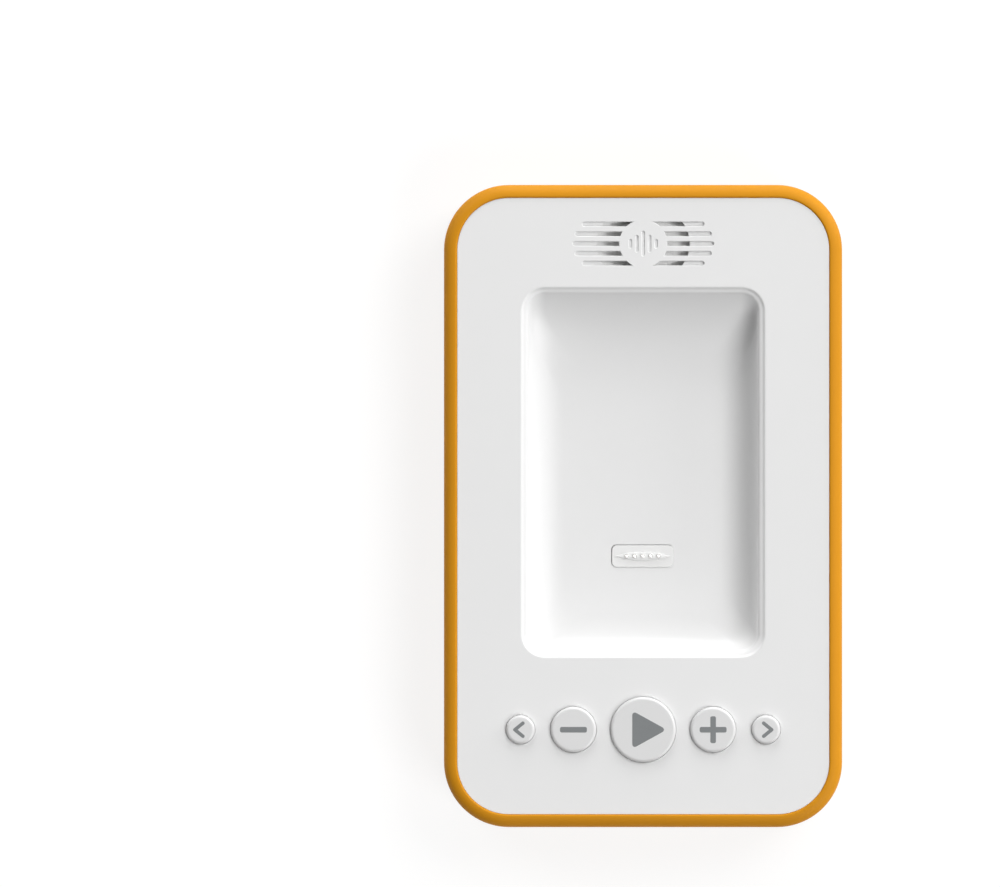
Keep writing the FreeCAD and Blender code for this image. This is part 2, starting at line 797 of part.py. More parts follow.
def make_pocket(body):
    """Lip, straight wall and a wide blend into the flat floor."""
    sketch = sketch_on(body, "XY_Plane", 0, POCKET_Y, FACE)
    rounded_rectangle(sketch, WALL_WIDTH, WALL_LENGTH, WALL_CORNER)
    pocket(body, sketch, "pocket_lip + pocket_straight")
    around = (0, POCKET_Y, "pocket_width / 2", "pocket_length / 2")
    fillet(body, "pocket_lip", level_edges(body, FACE, around))
    sections = []
    for step in range(BLEND_STEPS + 1):
        angle = math.pi / 2 * step / BLEND_STEPS
        inward = f"{1 - math.cos(angle):.6f}"
        down = f"{math.sin(angle):.6f}"
        level = f"{WALL_END} - {down} * ({WALL_END} - {POCKET_FLOOR})"
        sketch = sketch_on(body, "XY_Plane", 0, POCKET_Y, level)
        rounded_rectangle(sketch, f"({WALL_WIDTH} - 2 * {inward} * pocket_blend)",
                          f"({WALL_LENGTH} - 2 * {inward} * pocket_blend)",
                          f"({WALL_CORNER} + {inward} * (pocket_floor_corner - {WALL_CORNER}))")
        sections.append(sketch)
    loft(body, sections, cuts=True)


def make_grille(body):
    """Shallow slots, opened over the speaker by a recess from behind, round a disc in the middle."""
    halves = ["slot_half_outer", "slot_half_near", "slot_half", "slot_half_near", "slot_half_outer"]
    recess = sketch_on(body, "XY_Plane", 0, GRILLE_Y, UNDER)
    stadium(recess, "sound_length", "sound_width")
    pocket(body, recess, "panel_thickness - slot_depth", up=True)
    slots = sketch_on(body, "XY_Plane", 0, GRILLE_Y, FACE)
    for offset, half in enumerate(halves, start=-2):
        stadium(slots, f"(2 * {half})", "slot_width", f"({offset} * grille_pitch)")
    pocket(body, slots, "slot_depth")
    disc = sketch_on(body, "XY_Plane", 0, GRILLE_Y, UNDER)
    circle(disc, "disc_radius")
    pad(body, disc, "panel_thickness")
    bars = sketch_on(body, "XY_Plane", 0, GRILLE_Y, FACE, turn=90)
    level_bars(bars, "disc_bar_width", "disc_bar_pitch", "disc_bar_tall", "disc_bar_step")
    pocket(body, bars, "disc_bar_depth")


def hang_bosses(body, places, top, bottom, radius, bore, depth):
    """Round bosses that hang below the panel, each with a blind hole from its lower end."""
    sketch = sketch_on(body, "XY_Plane", z=top)
    for x, y in places:
        circle(sketch, radius, x, y)
    pad(body, sketch, f"{top} - {bottom}", up=False)
    sketch = sketch_on(body, "XY_Plane", z=bottom)
    for x, y in places:
        circle(sketch, bore, x, y)
    pocket(body, sketch, depth, up=True)


def make_front_panel():
    body = new_body("front_panel")
    sketch = sketch_on(body, "XY_Plane", z=UNDER)
    rounded_rectangle(sketch, PANEL_WIDTH, PANEL_LENGTH, PANEL_CORNER)
    pad(body, sketch, "panel_thickness")
    fillet(body, "panel_edge_round", level_edges(body, FACE))
    make_grille(body)
    sketch = sketch_on(body, "XY_Plane", z=FACE)
    for name, radius, x in BUTTONS:
        circle(sketch, f"({radius} + button_gap)", x, ROW_Y)
    pocket(body, sketch, "panel_thickness")
    sketch = sketch_on(body, "XY_Plane", z=UNDER)
    rounded_rectangle(sketch, PANEL_WIDTH, PANEL_LENGTH, PANEL_CORNER)
    rounded_rectangle(sketch, f"({PANEL_WIDTH} - 2 * skirt_wall)", f"({PANEL_LENGTH} - 2 * skirt_wall)",
                      f"({PANEL_CORNER} - skirt_wall)")
    pad(body, sketch, "skirt_depth", up=False)
    sketch = sketch_on(body, "XY_Plane", 0, POCKET_Y, UNDER)
    rounded_rectangle(sketch, f"({WALL_WIDTH} + 2 * pocket_wall)", f"({WALL_LENGTH} + 2 * pocket_wall)",
                      f"({WALL_CORNER} + pocket_wall)")
    pad(body, sketch, f"{UNDER} - {POCKET_UNDER}", up=False)
    fillet(body, "pocket_outer_round", level_edges(body, POCKET_UNDER))
    hang_bosses(body, [(f"{side} * {FOOT_X}", f"{end} * {FOOT_Y}") for side, end in CORNERS],
                UNDER, f"({BOSS_MEET} + seat_gap)", "panel_boss_radius", "(case_screw_radius + pin_gap)",
                "case_screw_bite")
    hang_bosses(body, board_screw_places(), UNDER, f"({BOARD_TOP} + pin_gap)", "board_boss_radius",
                "(board_screw_radius + pin_gap)", "board_screw_bite")
    hang_bosses(body, [(f"{side} * ear_spread", GRILLE_Y) for side in SIDES],
                UNDER, SPEAKER_FACE, "ear_boss_radius", "(ear_screw_radius + pin_gap)", "ear_screw_bite")
    hang_bosses(body, [(f"{side} * contact_screw_spread", CONTACT_Y) for side in SIDES],
                POCKET_UNDER, CONTACT_BOARD_TOP, "contact_boss_radius", "(contact_screw_radius + pin_gap)",
                "contact_screw_bite")
    hang_bosses(body, [(f"{side} * hold_magnet_spread", CONTACT_Y) for side in SIDES],
                POCKET_UNDER, f"({POCKET_UNDER} - hold_magnet_height)",
                "(hold_magnet_radius + seat_gap + magnet_cup_wall)", "(hold_magnet_radius + seat_gap)",
                "hold_magnet_height")
    sketch = sketch_on(body, "XY_Plane", 0, CONTACT_Y, POCKET_UNDER)
    rounded_rectangle(sketch, "(block_width + 2 * seat_gap)", "(block_length + 2 * seat_gap)",
                      "(block_corner + seat_gap)")
    pocket(body, sketch, "panel_thickness + pocket_depth + pocket_wall", up=True)
    make_pocket(body)


# Buttons

BUTTON_TOP = f"({FACE} + button_proud)"


def triangle(body, level, x):
    """A play triangle about the button's centre, pointing right."""
    sketch = sketch_on(body, "XY_Plane", x, ROW_Y, level)
    polygon(sketch, [("-play_back", "-play_side / 2"), ("play_reach", 0), ("-play_back", "play_side / 2")])
    return sketch


def symbol_strokes(name):
    """The strokes of a symbol as (x, y, turn, length, width, end radius)."""
    bar = ("bar_length", "bar_width", "bar_end_round")
    if name == "volume_down":
        return [(0, 0, 0, *bar)]
    if name == "volume_up":
        return [(0, 0, 0, *bar), (0, 0, 90, *bar)]
    facing = 1 if name == "next" else -1
    middle = "((chevron_arm - chevron_width) / 2)"
    arm = ("chevron_arm", "chevron_width", "chevron_end_round")
    return [(f"{facing} * chevron_shift", f"{side} * {middle} * sin(chevron_angle)",
             f"{-facing * side} * chevron_angle", *arm) for side in SIDES]


def draw_symbol(body, name, x, level, depth, shape, up):
    if name == "play":
        shape(body, triangle(body, level, x), depth, up=up)
        return
    for step, (dx, dy, turn, length, width, end) in enumerate(symbol_strokes(name)):
        sketch = sketch_on(body, "XY_Plane", f"{x} + {dx}", f"{ROW_Y} + {dy}", level, turn=turn)
        if turn:
            sketch.setExpression("AttachmentOffset.Rotation.Angle", formula(turn))
        rounded_rectangle(sketch, length, width, end)
        shape(body, sketch, depth, up=up)


def make_button(name, radius, x):
    label = f"{name}_button"
    body = new_body(label)
    flange = sketch_on(body, "XY_Plane", x, ROW_Y, FLANGE_TOP)
    circle(flange, f"({radius} + flange_extra)")
    pad(body, flange, "button_flange", up=False)
    cap = sketch_on(body, "XY_Plane", x, ROW_Y, FLANGE_TOP)
    circle(cap, radius)
    pad(body, cap, f"{BUTTON_TOP} - {FLANGE_TOP}")
    fillet(body, "button_round", level_edges(body, BUTTON_TOP))
    stem = sketch_on(body, "XY_Plane", x, ROW_Y, f"{FLANGE_TOP} - button_flange")
    circle(stem, "stem_radius")
    pad(body, stem, "stem_length", up=False)
    seat = f"({BUTTON_TOP} - symbol_depth)"
    draw_symbol(body, name, x, seat, "symbol_depth", pocket, up=True)
    if name == "play":
        fillet(body, "play_round", upright_edges(body, seat, BUTTON_TOP))
    inlay = new_body(f"{name}_symbol")
    draw_symbol(inlay, name, x, seat, "symbol_depth + symbol_proud", pad, up=True)
    if name == "play":
        fillet(inlay, "play_round", upright_edges(inlay, seat, f"{BUTTON_TOP} + symbol_proud"))


def make_switches():
    housings = []
    for name, radius, x in BUTTONS:
        housing = block(f"{name}_switch_block", x, ROW_Y, BOARD_TOP,
                        "switch_side", "switch_side", "switch_height")
        well = primitive("Cylinder", f"{name}_switch_well", x, ROW_Y,
                         f"{SWITCH_TOP} - plunger_sunk - button_travel - seat_gap",
                         Radius="plunger_radius + pin_gap", Height="plunger_sunk + button_travel + seat_gap")
        housings.append(combine("Cut", f"{name}_switch_housing", Base=housing, Tool=well))
        label = f"{name}_plunger"
        nodes[label] = primitive("Cylinder", label, x, ROW_Y, f"{SWITCH_TOP} - plunger_sunk",
                                 Radius="plunger_radius", Height="plunger_sunk + plunger_proud")
    group("key_switches", housings)


# Main board and its parts

def make_main_board():
    body = new_body("main_board")
    sketch = sketch_on(body, "XY_Plane", 0, BOARD_Y, BOARD_UNDER)
    rounded_rectangle(sketch, "board_width", "board_length", "board_corner")
    pad(body, sketch, "board_thickness")
    sketch = sketch_on(body, "XY_Plane", z=BOARD_TOP)
    for side in SIDES:
        circle(sketch, "(panel_boss_radius + boss_clearance)", f"{side} * {FOOT_X}", f"-{FOOT_Y}")
    for x, y in board_screw_places():
        circle(sketch, "(board_screw_radius + seat_gap)", x, y)
    pocket(body, sketch, "board_thickness")
    group("board_screws", [
        screw(f"board_screw_{name}", x, y, f"({BOARD_UNDER} - pin_gap)", "board_screw_radius",
              "board_head_radius", "board_head_height", "(board_thickness + pin_gap + board_screw_bite)")
        for name, (x, y) in zip(CORNER_NAMES, board_screw_places())])


def under_board(label, x, y, width, length, height):
    """A block on the board's underside, placed from the board's middle."""
    return block(label, x, f"{BOARD_Y} + {y}", f"{BOARD_UNDER} - {height}", width, length, height)


def make_components():
    small = ("small_chip_side", "small_chip_side", "small_chip_height")
    group("board_chips", [
        under_board("main_chip", "main_chip_x", "main_chip_y",
                    "main_chip_side", "main_chip_side", "main_chip_height"),
        under_board("memory_chip", "main_chip_x", "memory_chip_y",
                    "memory_chip_width", "memory_chip_length", "memory_chip_height"),
        under_board("amplifier_chip", "amplifier_x", "amplifier_y", *small),
        under_board("charger_chip", "charger_x", "charger_y", *small)])
    beside_small = "(small_chip_side / 2 + capacitor_gap + capacitor_length / 2)"
    beside_memory = "(memory_chip_width / 2 + capacitor_gap + capacitor_length / 2)"
    places = [
        (f"amplifier_x + {beside_small}", "amplifier_y"),
        (f"amplifier_x + {beside_small}", "amplifier_y + capacitor_pitch"),
        (f"charger_x + {beside_small}", "charger_y"),
        (f"charger_x + {beside_small}", "charger_y + capacitor_pitch"),
        (f"main_chip_x - {beside_memory}", "memory_chip_y"),
        (f"main_chip_x - {beside_memory}", "memory_chip_y - capacitor_pitch"),
    ]
    group("board_capacitors", [
        under_board(f"capacitor_{index}", x, y, "capacitor_length", "capacitor_width", "capacitor_height")
        for index, (x, y) in enumerate(places)])
    coil = under_board("inductor_block", "inductor_x", "inductor_y",
                       "inductor_side", "inductor_side", "inductor_height")
    nodes["power_inductor"] = rounded("power_inductor", coil, "inductor_corner",
                                      lambda edge: edge.BoundBox.ZLength > CLOSE)


def make_usb_socket():
    body = new_body("usb_socket")
    mouth = f"-{PORT_Y}"
    sketch = sketch_on(body, "XZ_Plane", "port_spread", USB_Z, mouth)
    stadium(sketch, "usb_width", "usb_height")
    pad(body, sketch, "usb_depth", up=False)
    sketch = sketch_on(body, "XZ_Plane", "port_spread", USB_Z, mouth)
    stadium(sketch, "(usb_width - 2 * usb_wall)", "(usb_height - 2 * usb_wall)")
    pocket(body, sketch, "usb_depth - 2 * usb_wall")
    tongue = new_body("usb_tongue")
    sketch = sketch_on(tongue, "XZ_Plane", "port_spread", USB_Z, f"{mouth} - usb_depth + 2 * usb_wall")
    rounded_rectangle(sketch, "usb_tongue_width", "usb_tongue_height", "usb_tongue_round")
    pad(tongue, sketch, "usb_tongue_depth")


def make_headphone_socket():
    low = f"{BOARD_UNDER} - jack_height"
    housing = block("jack_housing", "-port_spread", f"{PORT_Y} + jack_depth / 2", low,
                    "jack_width", "jack_depth", "jack_height")
    bore = primitive("Cylinder", "jack_bore_tool", "-port_spread", f"{PORT_Y} + jack_bore_depth", JACK_Z,
                     Radius="jack_bore", Height="jack_bore_depth")
    bore.Placement.Rotation = Rotation(Vector(1, 0, 0), 90)
    nodes["headphone_socket"] = combine("Cut", "headphone_socket", Base=housing, Tool=bore)


# Speaker

def stadium_at(body, level, length, width):
    sketch = sketch_on(body, "XY_Plane", 0, GRILLE_Y, level)
    stadium(sketch, length, width)
    return sketch


def ring_at(body, level, length, width, inset):
    sketch = stadium_at(body, level, length, width)
    stadium(sketch, f"({length} - 2 * {inset})", f"({width} - 2 * {inset})")
    return sketch


OPEN_LENGTH = "(speaker_length - 2 * gasket_rim)"
OPEN_WIDTH = "(speaker_width - 2 * gasket_rim)"
CONE_LENGTH = f"({OPEN_LENGTH} - 2 * surround_width)"
CONE_WIDTH = f"({OPEN_WIDTH} - 2 * surround_width)"
CONE_END = f"({CONE_TOP} - cone_depth)"
COIL_ROOM_LENGTH = "(coil_length + 2 * coil_play)"
COIL_ROOM_WIDTH = "(coil_width + 2 * coil_play)"


def make_speaker_mount():
    cloth = new_body("grille_cloth")
    pad(cloth, stadium_at(cloth, f"{UNDER} - cloth_thickness", "speaker_length", "speaker_width"),
        "cloth_thickness")
    gasket = new_body("speaker_gasket")
    pad(gasket, ring_at(gasket, SPEAKER_FACE, "speaker_length", "speaker_width", "gasket_rim"),
        "gasket_thickness")
    seat = f"({SPEAKER_FACE} - flange_plate)"
    group("speaker_screws", [
        screw(f"speaker_screw_{name}", f"{side} * ear_spread", GRILLE_Y, seat, "ear_screw_radius",
              "ear_head_radius", "ear_head_height", "(flange_plate + ear_screw_bite)")
        for name, side in zip(HAND_NAMES, SIDES)])


def make_speaker_basket():
    body = new_body("speaker_basket")
    plate = f"({SPEAKER_FACE} - flange_plate)"
    pad(body, stadium_at(body, plate, "speaker_length", "speaker_width"), "flange_plate")
    pad(body, stadium_at(body, plate, "(2 * (ear_spread + ear_radius))", "(2 * ear_radius)"), "flange_plate")
    can = stadium_at(body, plate, "(speaker_length - 2 * basket_inset)", "(speaker_width - 2 * basket_inset)")
    pad(body, can, "basket_depth - flange_plate", up=False)
    pocket(body, stadium_at(body, SPEAKER_FACE, OPEN_LENGTH, OPEN_WIDTH), "basket_depth - basket_wall")
    pocket(body, stadium_at(body, f"{BASKET_END} + basket_wall", COIL_ROOM_LENGTH, COIL_ROOM_WIDTH),
           "basket_wall")
    sketch = sketch_on(body, "XY_Plane", z=SPEAKER_FACE)
    for side in SIDES:
        circle(sketch, "(ear_screw_radius + seat_gap)", f"{side} * ear_spread", GRILLE_Y)
    pocket(body, sketch, "flange_plate")


def make_speaker_magnet():
    body = new_body("speaker_magnet")
    sketch = sketch_on(body, "XY_Plane", 0, GRILLE_Y, f"{BASKET_END} - magnet_height")
    rounded_rectangle(sketch, "magnet_length", "magnet_width", "magnet_corner")
    pad(body, sketch, "magnet_height")
    groove = ring_at(body, BASKET_END, COIL_ROOM_LENGTH, COIL_ROOM_WIDTH, "(coil_wall + 2 * coil_play)")
    pocket(body, groove, "magnet_groove")


def make_speaker_cone():
    body = new_body("speaker_cone")
    loft(body, [stadium_at(body, CONE_TOP, CONE_LENGTH, CONE_WIDTH),
                stadium_at(body, CONE_END, "coil_length", "coil_width")])
    mouth = stadium_at(body, CONE_TOP, f"({CONE_LENGTH} - 2 * cone_skin)", f"({CONE_WIDTH} - 2 * cone_skin)")
    throat = stadium_at(body, f"{CONE_END} + cone_skin", "(coil_length - 2 * cone_skin)",
                        "(coil_width - 2 * cone_skin)")
    loft(body, [mouth, throat], cuts=True)
    coil = new_body("voice_coil")
    pad(coil, ring_at(coil, CONE_END, "coil_length", "coil_width", "coil_wall"), "coil_height", up=False)
    surround = new_body("speaker_surround")
    outline = ring_at(surround, f"{CONE_TOP} - surround_height / 2", f"({OPEN_LENGTH} - 2 * pin_gap)",
                      f"({OPEN_WIDTH} - 2 * pin_gap)", "(surround_width - 2 * pin_gap)")
    pad(surround, outline, "surround_height")
    fillet(surround, "surround_round", level_edges(surround, f"{CONE_TOP} + surround_height / 2"))


# Cartridge contacts

BARREL_HEIGHT = "(pin_body - pin_gap)"
PIN_TIP = f"({POCKET_FLOOR} + block_proud + ridge_height + pin_proud)"
PIN_END = f"({CONTACT_BOARD_TOP} + barrel_floor + pin_travel + seat_gap)"


def pin_places():
    return [(f"pin_{step + 3}", f"{step} * pin_pitch") for step in range(-2, 3)]


def make_contact_block():
    body = new_body("contact_block")
    sketch = sketch_on(body, "XY_Plane", 0, CONTACT_Y, CONTACT_BOARD_TOP)
    rounded_rectangle(sketch, "block_flange_width", "block_flange_length", "block_corner")
    pad(body, sketch, "block_flange")
    sketch = sketch_on(body, "XY_Plane", 0, CONTACT_Y, CONTACT_BOARD_TOP)
    rounded_rectangle(sketch, "block_width", "block_length", "block_corner")
    pad(body, sketch, f"{POCKET_FLOOR} + block_proud - {CONTACT_BOARD_TOP}")
    top = f"({POCKET_FLOOR} + block_proud)"
    fillet(body, "block_round", level_edges(body, top))
    sketch = sketch_on(body, "XY_Plane", 0, CONTACT_Y, top)
    lens(sketch, "ridge_half", "ridge_rise")
    pad(body, sketch, "ridge_height")
    sketch = sketch_on(body, "XY_Plane", 0, CONTACT_Y, f"{top} + ridge_height")
    for name, x in pin_places():
        circle(sketch, "(pin_radius + pin_gap)", x)
    pocket(body, sketch, f"{top} + ridge_height - {CONTACT_BOARD_TOP}")
    sketch = sketch_on(body, "XY_Plane", 0, CONTACT_Y, CONTACT_BOARD_TOP)
    for name, x in pin_places():
        circle(sketch, "(barrel_radius + pin_gap)", x)
    pocket(body, sketch, BARREL_HEIGHT, up=True)


def make_contact_pins():
    barrels = []
    for name, x in pin_places():
        shaft = primitive("Cylinder", f"{name}_shaft", x, CONTACT_Y, PIN_END,
                          Radius="pin_radius", Height=f"{PIN_TIP} - pin_radius - {PIN_END}")
        tip = primitive("Sphere", f"{name}_tip", x, CONTACT_Y, f"{PIN_TIP} - pin_radius", Radius="pin_radius")
        nodes[f"contact_{name}"] = combine("Fuse", f"contact_{name}", Base=shaft, Tool=tip)
        tube = primitive("Cylinder", f"{name}_tube", x, CONTACT_Y, CONTACT_BOARD_TOP,
                         Radius="barrel_radius", Height=f"{BARREL_HEIGHT} - pin_gap")
        bore = primitive("Cylinder", f"{name}_tube_bore", x, CONTACT_Y, f"{CONTACT_BOARD_TOP} + barrel_floor",
                         Radius="pin_radius + pin_gap", Height=BARREL_HEIGHT)
        barrels.append(combine("Cut", f"{name}_barrel", Base=tube, Tool=bore))
    group("contact_barrels", barrels)


def make_contact_board():
    body = new_body("contact_board")
    sketch = sketch_on(body, "XY_Plane", 0, CONTACT_Y, f"{CONTACT_BOARD_TOP} - contact_board_thickness")
    rounded_rectangle(sketch, "contact_board_width", "contact_board_length", "contact_board_corner")
    pad(body, sketch, "contact_board_thickness")
    sketch = sketch_on(body, "XY_Plane", 0, CONTACT_Y, CONTACT_BOARD_TOP)
    for side in SIDES:
        circle(sketch, "(contact_screw_radius + seat_gap)", f"{side} * contact_screw_spread")
    pocket(body, sketch, "contact_board_thickness")
    group("contact_screws", [
        screw(f"contact_screw_{name}", f"{side} * contact_screw_spread", CONTACT_Y,
              f"({CONTACT_BOARD_TOP} - contact_board_thickness)", "contact_screw_radius",
              "contact_head_radius", "contact_head_height", "(contact_board_thickness + contact_screw_bite)")
        for name, side in zip(HAND_NAMES, SIDES)])


def make_pocket_magnets():
    group("pocket_magnets", [
        primitive("Cylinder", f"pocket_magnet_{name}", f"{side} * hold_magnet_spread", CONTACT_Y,
                  f"{POCKET_UNDER} - hold_magnet_height",
                  Radius="hold_magnet_radius", Height="hold_magnet_height")
        for name, side in zip(HAND_NAMES, SIDES)])


# Battery, leads and cable

BATTERY_Z = f"({FLOOR} + battery_pad_thickness)"
BATTERY_TAB_Y = f"({BATTERY_Y} - battery_length / 2)"
SOCKET_Y = f"({BOARD_Y} + board_length / 2 - battery_socket_length / 2)"
PLUG_END = f"({SOCKET_Y} + battery_socket_length / 2 + battery_plug_length)"


def make_battery():
    body = new_body("battery")
    sketch = sketch_on(body, "XY_Plane", 0, BATTERY_Y, BATTERY_Z)
    rounded_rectangle(sketch, "battery_width", "battery_length", "battery_corner")
    pad(body, sketch, "battery_thickness")
    fillet(body, "battery_edge_round", level_edges(body, BATTERY_Z))
    fillet(body, "battery_edge_round", level_edges(body, f"{BATTERY_Z} + battery_thickness"))
    nodes["battery_pad"] = block("battery_pad", 0, BATTERY_Y, FLOOR, "(battery_width - 2 * battery_corner)",
                                 "(battery_length - 2 * battery_corner)", "battery_pad_thickness")


def make_battery_plug():
    low = f"{BOARD_UNDER} - battery_socket_height"
    nodes["battery_socket"] = block("battery_socket", "battery_socket_offset", SOCKET_Y, low,
                                    "battery_socket_width", "battery_socket_length", "battery_socket_height")
    middle = f"{PLUG_END} - battery_plug_length / 2"
    nodes["battery_plug"] = block("battery_plug", "battery_socket_offset", middle, low,
                                  "(battery_socket_width - lead_radius)", "battery_plug_length",
                                  "(battery_socket_height - lead_radius)")


def make_battery_lead(colour, side):
    tab_z = f"({BATTERY_Z} + battery_thickness / 2)"
    tab_x = f"(battery_tab_offset + {side} * lead_spacing / 2)"
    plug_z = f"({BOARD_UNDER} - battery_socket_height / 2 - lead_radius / 2)"
    plug_x = f"(battery_socket_offset + {side} * lead_spacing / 2)"
    round_lead(f"battery_lead_{colour}", [
        spot(tab_x, BATTERY_TAB_Y, tab_z),
        spot(tab_x, f"{BATTERY_TAB_Y} - lead_straight", tab_z),
        spot(plug_x, f"{PLUG_END} + lead_straight", plug_z),
        spot(plug_x, PLUG_END, plug_z)])


def make_speaker_lead(colour, side):
    """From the speaker's end, down beside the pocket and round to the underside of the board."""
    half = f"({side} * lead_spacing / 2)"
    out = f"{GRILLE_Y} - speaker_lead_drop"
    high = f"{BASKET_END} + speaker_lead_rise"
    low = f"({BOARD_UNDER} - 4 * lead_radius)"
    beside = f"(lead_channel + {half})"
    tail = f"(board_width / 2 - lead_tail_inset + {half})"
    edge = f"({BOARD_Y} + board_length / 2)"
    round_lead(f"speaker_lead_{colour}", [
        spot("speaker_length / 2 - basket_inset", f"{out} + {half}", high),
        spot("speaker_length / 2 + speaker_lead_reach", f"{out} - lead_radius + {half}", high),
        spot(beside, f"{GRILLE_Y} - speaker_lead_bend + {half}", low),
        spot(f"{beside} + lead_spacing", CONTACT_Y, low),
        spot(beside, f"{edge} + lead_straight - {half}", low),
        spot(tail, f"{edge} + lead_spacing / 2 - {half}", low),
        spot(tail, f"{edge} - lead_tail_length", f"{BOARD_UNDER} - lead_radius")])


def make_contact_cable():
    start = f"({CONTACT_Y} - contact_board_length / 2 + cable_overlap)"
    end = f"({BOARD_Y} + board_length / 2 - cable_overlap)"
    top = f"({CONTACT_BOARD_TOP} - contact_board_thickness - cable_thickness / 2)"
    board = f"({BOARD_UNDER} - cable_thickness / 2)"
    points = [
        spot(0, start, top),
        spot(0, f"{start} - cable_straight", top),
        spot(0, f"{end} + cable_straight", board),
        spot(0, end, board),
    ]
    half = Vector(value("cable_width / 2"), 0, 0)
    up = Vector(0, 0, value("cable_thickness / 2"))
    corners = [points[0] - half - up, points[0] + half - up, points[0] + half + up, points[0] - half + up]
    profile = Part.makePolygon(corners + corners[:1])
    sweep("contact_cable", points, profile, value("cable_width * cable_thickness"), flat=True)


def check_and_write():
    """Stops on a failed object or a bad shape, then writes one STEP file for each sub-part."""
    doc.recompute()
    for thing in doc.Objects:
        if "Invalid" in thing.State or "Error" in thing.State:
            raise RuntimeError(f"{thing.Label} failed: {thing.State}")
    for label, thing in nodes.items():
        shape = thing.Shape
        if shape.isNull() or not shape.isValid() or not shape.Solids:
            raise RuntimeError(f"{label} has no valid solid")
    os.makedirs("parts", exist_ok=True)
    for label, thing in nodes.items():
        thing.Label = label
        thing.Shape.exportStep(os.path.join("parts", f"{label}.step"))
    print(len(nodes), "nodes,", sum(len(thing.Shape.Solids) for thing in nodes.values()), "solids")


make_back_shell()
make_feet()
make_case_screws()
make_front_panel()
for button in BUTTONS:
    make_button(*button)
make_switches()
make_main_board()
make_components()
make_usb_socket()
make_headphone_socket()
make_speaker_mount()
make_speaker_basket()
make_speaker_magnet()
make_speaker_cone()
make_contact_block()
make_contact_pins()
make_contact_board()
make_pocket_magnets()
make_battery()
make_battery_plug()
for lead in zip(("red", "black"), SIDES):
    make_battery_lead(*lead)
    make_speaker_lead(*lead)
make_contact_cable()
check_and_write()
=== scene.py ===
import json
from math import asin, cos, pi, radians, sin, sqrt, tan

import bmesh
import bpy
from mathutils import Matrix, Vector


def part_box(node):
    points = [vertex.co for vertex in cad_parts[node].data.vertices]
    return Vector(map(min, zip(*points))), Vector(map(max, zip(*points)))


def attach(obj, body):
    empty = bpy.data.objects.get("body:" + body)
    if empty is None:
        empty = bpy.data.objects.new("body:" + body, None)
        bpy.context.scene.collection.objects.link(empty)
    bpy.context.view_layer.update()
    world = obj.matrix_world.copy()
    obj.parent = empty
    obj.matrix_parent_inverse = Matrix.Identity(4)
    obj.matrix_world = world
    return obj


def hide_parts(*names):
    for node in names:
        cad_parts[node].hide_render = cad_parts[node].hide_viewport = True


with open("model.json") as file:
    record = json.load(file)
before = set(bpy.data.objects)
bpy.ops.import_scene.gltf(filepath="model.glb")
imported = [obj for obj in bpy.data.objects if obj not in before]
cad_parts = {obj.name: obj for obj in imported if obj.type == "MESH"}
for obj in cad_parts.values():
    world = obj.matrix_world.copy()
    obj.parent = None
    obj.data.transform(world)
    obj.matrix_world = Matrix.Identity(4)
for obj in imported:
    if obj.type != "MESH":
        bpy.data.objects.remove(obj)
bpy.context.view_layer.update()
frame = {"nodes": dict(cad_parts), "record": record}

# Meshes are worked out in millimetres, in the frame of the CAD nodes, and written in metres.
MM = 0.001

# Heights
BACK = 1.2
INSIDE_FLOOR = 3.6
CROWN = 23.2
FACE = 22.9
PLATE_UNDER = 20.5
POCKET_FLOOR = 13.9
POCKET_UNDER = 12.1
BUTTON_TOP = 24.0
FLANGE_TOP = 20.4

# Tub
TUB_WIDTH = 99.2
TUB_LENGTH = 160.0
TUB_CORNER = 16.2
TUB_WALL = 3.3
RIM_ROUND = 2.8
BACK_ROUND = 2.5
CAVITY_ROUND = 1.5
CROWN_EDGE = 0.45
FOOT_SPREAD = (36.5, 66.0)
FOOT_SEAT = 4.25
FOOT_SEAT_DEPTH = 1.0
BACK_BARS = ((-21.2, 14.0), (-10.6, 26.0), (0.0, 38.0), (10.6, 26.0), (21.2, 14.0))
BACK_BAR_WIDTH = 6.4
BACK_BAR_DEPTH = 0.5
BACK_BAR_EDGE = 0.2

# Charging and headphone sockets in the bottom wall: x and z of the middle, width and height of the recess,
# width and height of the opening in its floor
PORTS = ((16.0, 10.62, 12.8, 7.0, 9.64, 3.96), (-16.0, 9.55, 8.0, 8.0, 4.4, 4.4))
RECESS_DEPTH = 2.2

# Face plate
PLATE_WIDTH = 92.54
PLATE_LENGTH = 153.34
PLATE_CORNER = 12.87
PLATE_EDGE = 0.08
SKIRT_WALL = 1.6
SKIRT_END = 14.5
POCKET_Y = 8.4
POCKET_WIDTH = 60.8
POCKET_LENGTH = 92.3
POCKET_CORNER = 6.0
POCKET_WALL = 1.8
TRAY_ROUND = 5.0
TRAY_CORNER = 0.6
WALL_INSET = 1.9
WALL_DEPTH = 3.4
BLEND_WIDTH = 8.5
FLOOR_CORNER = 6.5
RAMP_START = 1.3
RAMP_LENGTH = 20.0
RAMP_BEND = 2.2
# How far in from the pocket's mouth and how far down, along the lip
LIP = ((0.0, 0.0), (0.08, 0.02), (0.2, 0.09), (0.35, 0.22), (0.5, 0.36), (0.65, 0.46), (0.85, 0.54),
       (1.1, 0.62), (1.3, 0.7), (1.5, 0.84), (1.65, 1.05), (1.78, 1.4), (1.86, 2.2))
CONTACT_Y = -12.6
WINDOW_MIDDLE = (-0.07, CONTACT_Y + 0.07)
WINDOW_GAP = 0.1

